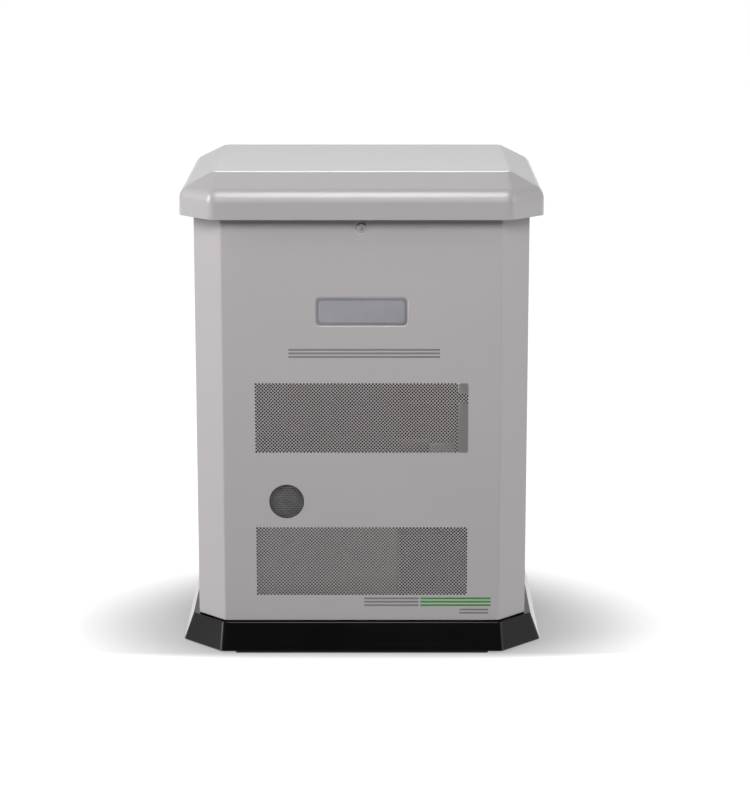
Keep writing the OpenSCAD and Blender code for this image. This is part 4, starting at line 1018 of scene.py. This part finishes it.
blank, faces = perforated(2 * GUARD_HALF, 2 * GUARD_HALF, 5.3 * MM, 4.7 * MM, 0.72)
guard = thicken("outlet_guard", blank + outlet - GUARD_HALF, faces, GUARD_SHEET, guard_place)
finish_piece(guard, "enclosure", "guard_steel", ["exhaust_guard"])

# %% [markdown]
# Parts whose mechanical shape is right still have knife edges. `softened` copies such a part,
# merges its loose triangles into clean faces and bevels its edges, because a real casting or
# moulding has no sharp edge, and the small round is what draws the highlights.

# %% Softened parts
EDGE_DEGREES = 28


def softened(node, width, finish_name=None, segments=2, ceiling=None):
    """A bevelled copy of a CAD node that stands for it, on the same body, cut to a ceiling."""
    mesh = bmesh.new()
    mesh.from_mesh(frame["nodes"][node].data)
    bmesh.ops.remove_doubles(mesh, verts=mesh.verts, dist=0.02 * MM)
    bmesh.ops.dissolve_limit(mesh, angle_limit=math.radians(1.5), verts=mesh.verts,
                             edges=mesh.edges)
    edges = [e for e in mesh.edges if len(e.link_faces) == 2
             and e.calc_face_angle(0) > math.radians(EDGE_DEGREES)]
    bmesh.ops.bevel(mesh, geom=edges, offset=width, segments=segments, profile=0.5,
                    affect="EDGES", clamp_overlap=True, harden_normals=False)
    data = bpy.data.meshes.new(f"{node}_body")
    mesh.to_mesh(data)
    mesh.free()
    if ceiling is not None:
        points = np.empty(len(data.vertices) * 3, np.float32)
        data.vertices.foreach_get("co", points)
        points[2::3] = np.minimum(points[2::3], ceiling)
        data.vertices.foreach_set("co", points)
    data.polygons.foreach_set("use_smooth", np.ones(len(data.polygons), bool))
    data.set_sharp_from_angle(angle=math.radians(SHARP_DEGREES))
    piece = bpy.data.objects.new(f"{node}_body", data)
    bpy.context.scene.collection.objects.link(piece)
    return finish_piece(piece, BODY_OF[node], SLOT_OF[node], [node], finish_name)


SOFT_EDGES = {
    # node: bevel width in millimetres
    "corner_posts": 1.0, "top_frame": 0.8, "divider_wall": 0.4,
    "hinge_frame_leaves": 0.6, "engine_rails": 2.0,
    "vibration_mounts": 2.5, "crankcase": 4.0, "cylinder_front": 0.6, "cylinder_rear": 0.6,
    "valve_covers": 3.0, "blower_housing": 1.2, "intake_manifold": 1.5, "fuel_mixer": 3.0,
    "air_cleaner_box": 1.0, "air_cleaner_cover": 1.0, "starter_motor": 2.0, "gas_inlet": 0.8,
    "alternator_frame": 1.5, "alternator_end_bell": 1.0, "battery": 3.0,
    "battery_hold_down": 0.8, "control_box": 0.8, "controller": 0.8, "breaker_body": 1.0,
    "breaker_lever": 1.0, "mode_switch": 1.0, "start_button": 0.8, "stop_button": 0.8,
    "gas_valve_lever": 1.0, "air_cleaner_knob": 1.0, "oil_cap": 1.0, "lid_stay": 0.5,
    "lock_cam": 0.4, "muffler": 1.0, "flywheel": 0.6, "stay_stud": 0.5, "gas_regulator": 1.5,
}
# Painted shade: the control box and the alternator frame take dark finishes so that they stay dark
# behind the vents; black alternator housings are also common.
SPECIAL_FINISH = {"control_box": "console_painted_shade", "alternator_frame": "dark_steel"}
for node, width in SOFT_EDGES.items():
    softened(node, width * MM, SPECIAL_FINISH.get(node))
LEAF_TOP = lid_low[2] + 20 * MM
softened("hinge_lid_leaves", 0.6 * MM, ceiling=LEAF_TOP)

# %% [markdown]
# The lid stay hangs on a small ear inside the lid: a flat tab with a round end and a pin hole.

# %% Stay tab
TAB_HALF, TAB_TOP, PIN_HOLE_R = 10 * MM, 1002 * MM, 3.1 * MM
TAB_X = (-332 * MM, -329 * MM)
stay_pin = np.array([150.4, 945.5]) * MM
tab_cells = np.linspace(-TAB_HALF, TAB_HALF, 9)


def tab_place(u, v, depth):
    """Blank point to the ear: u along the lid's depth, v up."""
    return np.column_stack([TAB_X[1] - depth, u, v])


tab_us, tab_vs = stay_pin[0] + tab_cells, lines(stay_pin[1] + tab_cells, TAB_TOP)
tab_grid = grid_cells(tab_us, tab_vs, [square_about(stay_pin, TAB_HALF)])
tab = thicken("stay_tab", *joined(tab_grid, round_hole(stay_pin, PIN_HOLE_R, TAB_HALF, 8)),
              TAB_X[1] - TAB_X[0], tab_place)
finish_piece(tab, "lid", "painted_sheet", (), "moulded_lid")

# %% [markdown]
# The panels are held by button-head screws with a hexagonal socket. One head is turned, its
# socket is the first ring squeezed to a hexagon, and numpy repeats it at every fixing.

# %% Enclosure screws
HEAD_PROFILE = [(1.6, 0.3), (1.8, 1.3), (2.4, 1.45), (4.0, 1.2), (5.2, 0.7), (5.8, 0.0)]
HEAD_SIDES = 24
SIDE_SCREW_Y, REAR_SCREW_X = 200 * MM, 284 * MM
SCREW_LEVELS = np.array([130, 315, 500, 685, 870]) * MM


def screw_heads(name, spots, outwards):
    """One mesh of equal screw heads: spots (n, 3) on the sheet, outwards (n, 3) unit normals."""
    angle = np.arange(HEAD_SIDES) * 2 * math.pi / HEAD_SIDES
    hexagon = math.cos(math.pi / 6) / np.cos((angle + math.pi / 6) % (math.pi / 3) - math.pi / 6)
    radius, height = np.array(HEAD_PROFILE).T * MM
    shape = np.where(radius[:, None] < 2 * MM, hexagon, 1.0) * radius[:, None]
    up = np.array([0, 0, 1.0])
    along = np.cross(up, outwards)[:, None, None]
    points = (spots[:, None, None] + outwards[:, None, None] * height[None, :, None, None]
              + along * (shape * np.cos(angle))[None, ..., None]
              + up * (shape * np.sin(angle))[None, ..., None])
    rows, count = len(HEAD_PROFILE), len(spots)
    index = np.arange(rows * HEAD_SIDES).reshape(rows, HEAD_SIDES)
    sides = np.stack([index[1:], np.roll(index[1:], -1, 1), np.roll(index[:-1], -1, 1),
                      index[:-1]], -1).reshape(-1, 4)
    base = (np.arange(count) * rows * HEAD_SIDES)[:, None, None]
    caps = np.stack([index[0], index[-1, ::-1]])
    return mesh_piece(name, points.reshape(-1, 3), [(sides + base).reshape(-1, 4),
                                                    (caps + base).reshape(-1, HEAD_SIDES)])


spots, outwards = [], []
for z in SCREW_LEVELS:
    for sign in (-1, 1):
        for other in (-1, 1):
            spots.append((sign * panel_high[0], other * SIDE_SCREW_Y, z))
            outwards.append((sign, 0, 0))
        spots.append((sign * REAR_SCREW_X, rear_high[1], z))
        outwards.append((0, 1, 0))
heads = screw_heads("screw_heads", np.array(spots), np.array(outwards, float))
finish_piece(heads, "enclosure", "zinc_steel", ["enclosure_screws"], "painted_sheet")

# %% [markdown]
# The hose and the cables are carried along paths. A hose bends on a radius of
# several diameters, so each corner of its route becomes an arc.

# %% Hose and cables
hose_low, hose_high = box("fuel_hose")
regulator_low = box("gas_regulator")[0]
HOSE_R = 11 * MM
gas_x, gas_z = gas
hose_y = 118 * MM
hose_top = hose_high[2] - HOSE_R
crank_y = centre("crankshaft")[1]
hose_path = rounded_path(
    [(gas_x, regulator_low[1], gas_z), (gas_x, hose_y, gas_z), (gas_x, hose_y, hose_top),
     (gas_x, crank_y, hose_top), (hose_low[0], crank_y, hose_top)],
    [24 * MM, 26 * MM, 26 * MM], steps=10)
finish_piece(tube("gas_hose", hose_path, HOSE_R, 24), "enclosure", "rubber", ["fuel_hose"])

CABLE_R = 5 * MM
RED_ROUTE = [(110, -110, 264), (110, -110, 290), (-90, -110, 290), (-90, -110, 180),
             (-110, -110, 180)]
BLACK_ROUTE = [(258, -110, 264), (258, -110, 282), (258, -70, 282), (258, -70, 102.5),
               (258, -25, 102.5), (165, -25, 102.5)]
for name, route, finish_name, replaced in (
        ("cable_red", RED_ROUTE, "red_cable", ["battery_cables"]),
        ("cable_black", BLACK_ROUTE, "rubber", [])):
    corners = np.array(route) * MM
    bends = np.full(len(corners) - 2, 12 * MM)
    finish_piece(tube(name, rounded_path(corners, bends, 8), CABLE_R, 14), "enclosure",
                 "rubber", replaced, finish_name)

# %% [markdown]
# The controller's window is a dark glass plate in its recess, with a row of indicator lenses
# above it. Both lie in the fascia's own plane, which slopes back by fifty degrees.

# %% Console window
FASCIA_SLOPE = math.radians(50)
FASCIA_FOOT = np.array([0, -215, 735]) * MM
uphill = np.array([0, math.cos(FASCIA_SLOPE), math.sin(FASCIA_SLOPE)])
outward = np.array([0, -math.sin(FASCIA_SLOPE), math.cos(FASCIA_SLOPE)])


def fascia_place(u, v, depth):
    """Point of the console's fascia: u across, v uphill, depth into the box."""
    return (FASCIA_FOOT + u[:, None] * [1, 0, 0] + v[:, None] * uphill - depth[:, None] * outward)


window = plate("console_window", rectangle(np.array([106, 63]) * MM, np.array([204, 111]) * MM,
                                           2 * MM), fascia_place, -6.8 * MM, -6.1 * MM)
finish_piece(window, "enclosure", "black_plastic", (), "screen")
lens_names = ("green_plastic", "yellow_plastic", "red_plastic")
for number, slot_name in enumerate(lens_names):
    middle = np.array([120 + 20 * number, 120]) * MM
    lens = turned(f"console_lens_{number + 1}", np.array(
        [(0.2, 1.4), (1.2, 1.2), (1.9, 0.7), (2.2, 0.0), (2.2, -1.0), (0.2, -1.0)])[::-1] * MM,
        fascia_place(middle[:1], middle[1:], np.array([-8 * MM]))[0], outward, 16)
    finish_piece(lens, "enclosure", slot_name)

# %% [markdown]
# Behind each vent hangs a board with acoustic foam on it. Air passes round its edges, while
# sound and sight are stopped, so the vents look dark from outside. The dark boards are set where
# the view through the vents falls, as painted shade for the inside of the cabinet.

# %% Baffles
SHADE_BAFFLES = {
    # name: low corner, high corner, in millimetres
    "baffle_rear": ((-250, 236, 270), (220, 252, 640)),
    "baffle_left": ((-322, -150, 392), (-306, 170, 640)),
    "baffle_right": ((306, -40, 392), (322, 170, 640)),
}
for name, (low, high) in SHADE_BAFFLES.items():
    low, high = np.array(low) * MM, np.array(high) * MM
    long_axis = 0 if name.endswith("rear") else 1
    flat_axis = 1 - long_axis
    section = rectangle(low[[flat_axis, 2]], high[[flat_axis, 2]], 4 * MM)
    span = np.linspace(low[long_axis], high[long_axis], 9)
    rings = np.empty((len(span), len(section), 3))
    rings[..., long_axis] = span[:, None]
    rings[..., flat_axis] = section[:, 0]
    rings[..., 2] = section[:, 1]
    board = loft(name, rings if long_axis == 0 else rings[::-1])
    finish_piece(board, "enclosure", "foam")

# %% [markdown]
# Cast, pressed and bought-in parts keep the shapes they have in the mechanical model, since
# their form is set by function. Each one takes the finish of its own slot.

# %% Remaining mechanical parts
for node, thing in frame["nodes"].items():
    thing.data.materials.clear()
    thing.data.materials.append(FINISHES[SLOT_OF[node]])
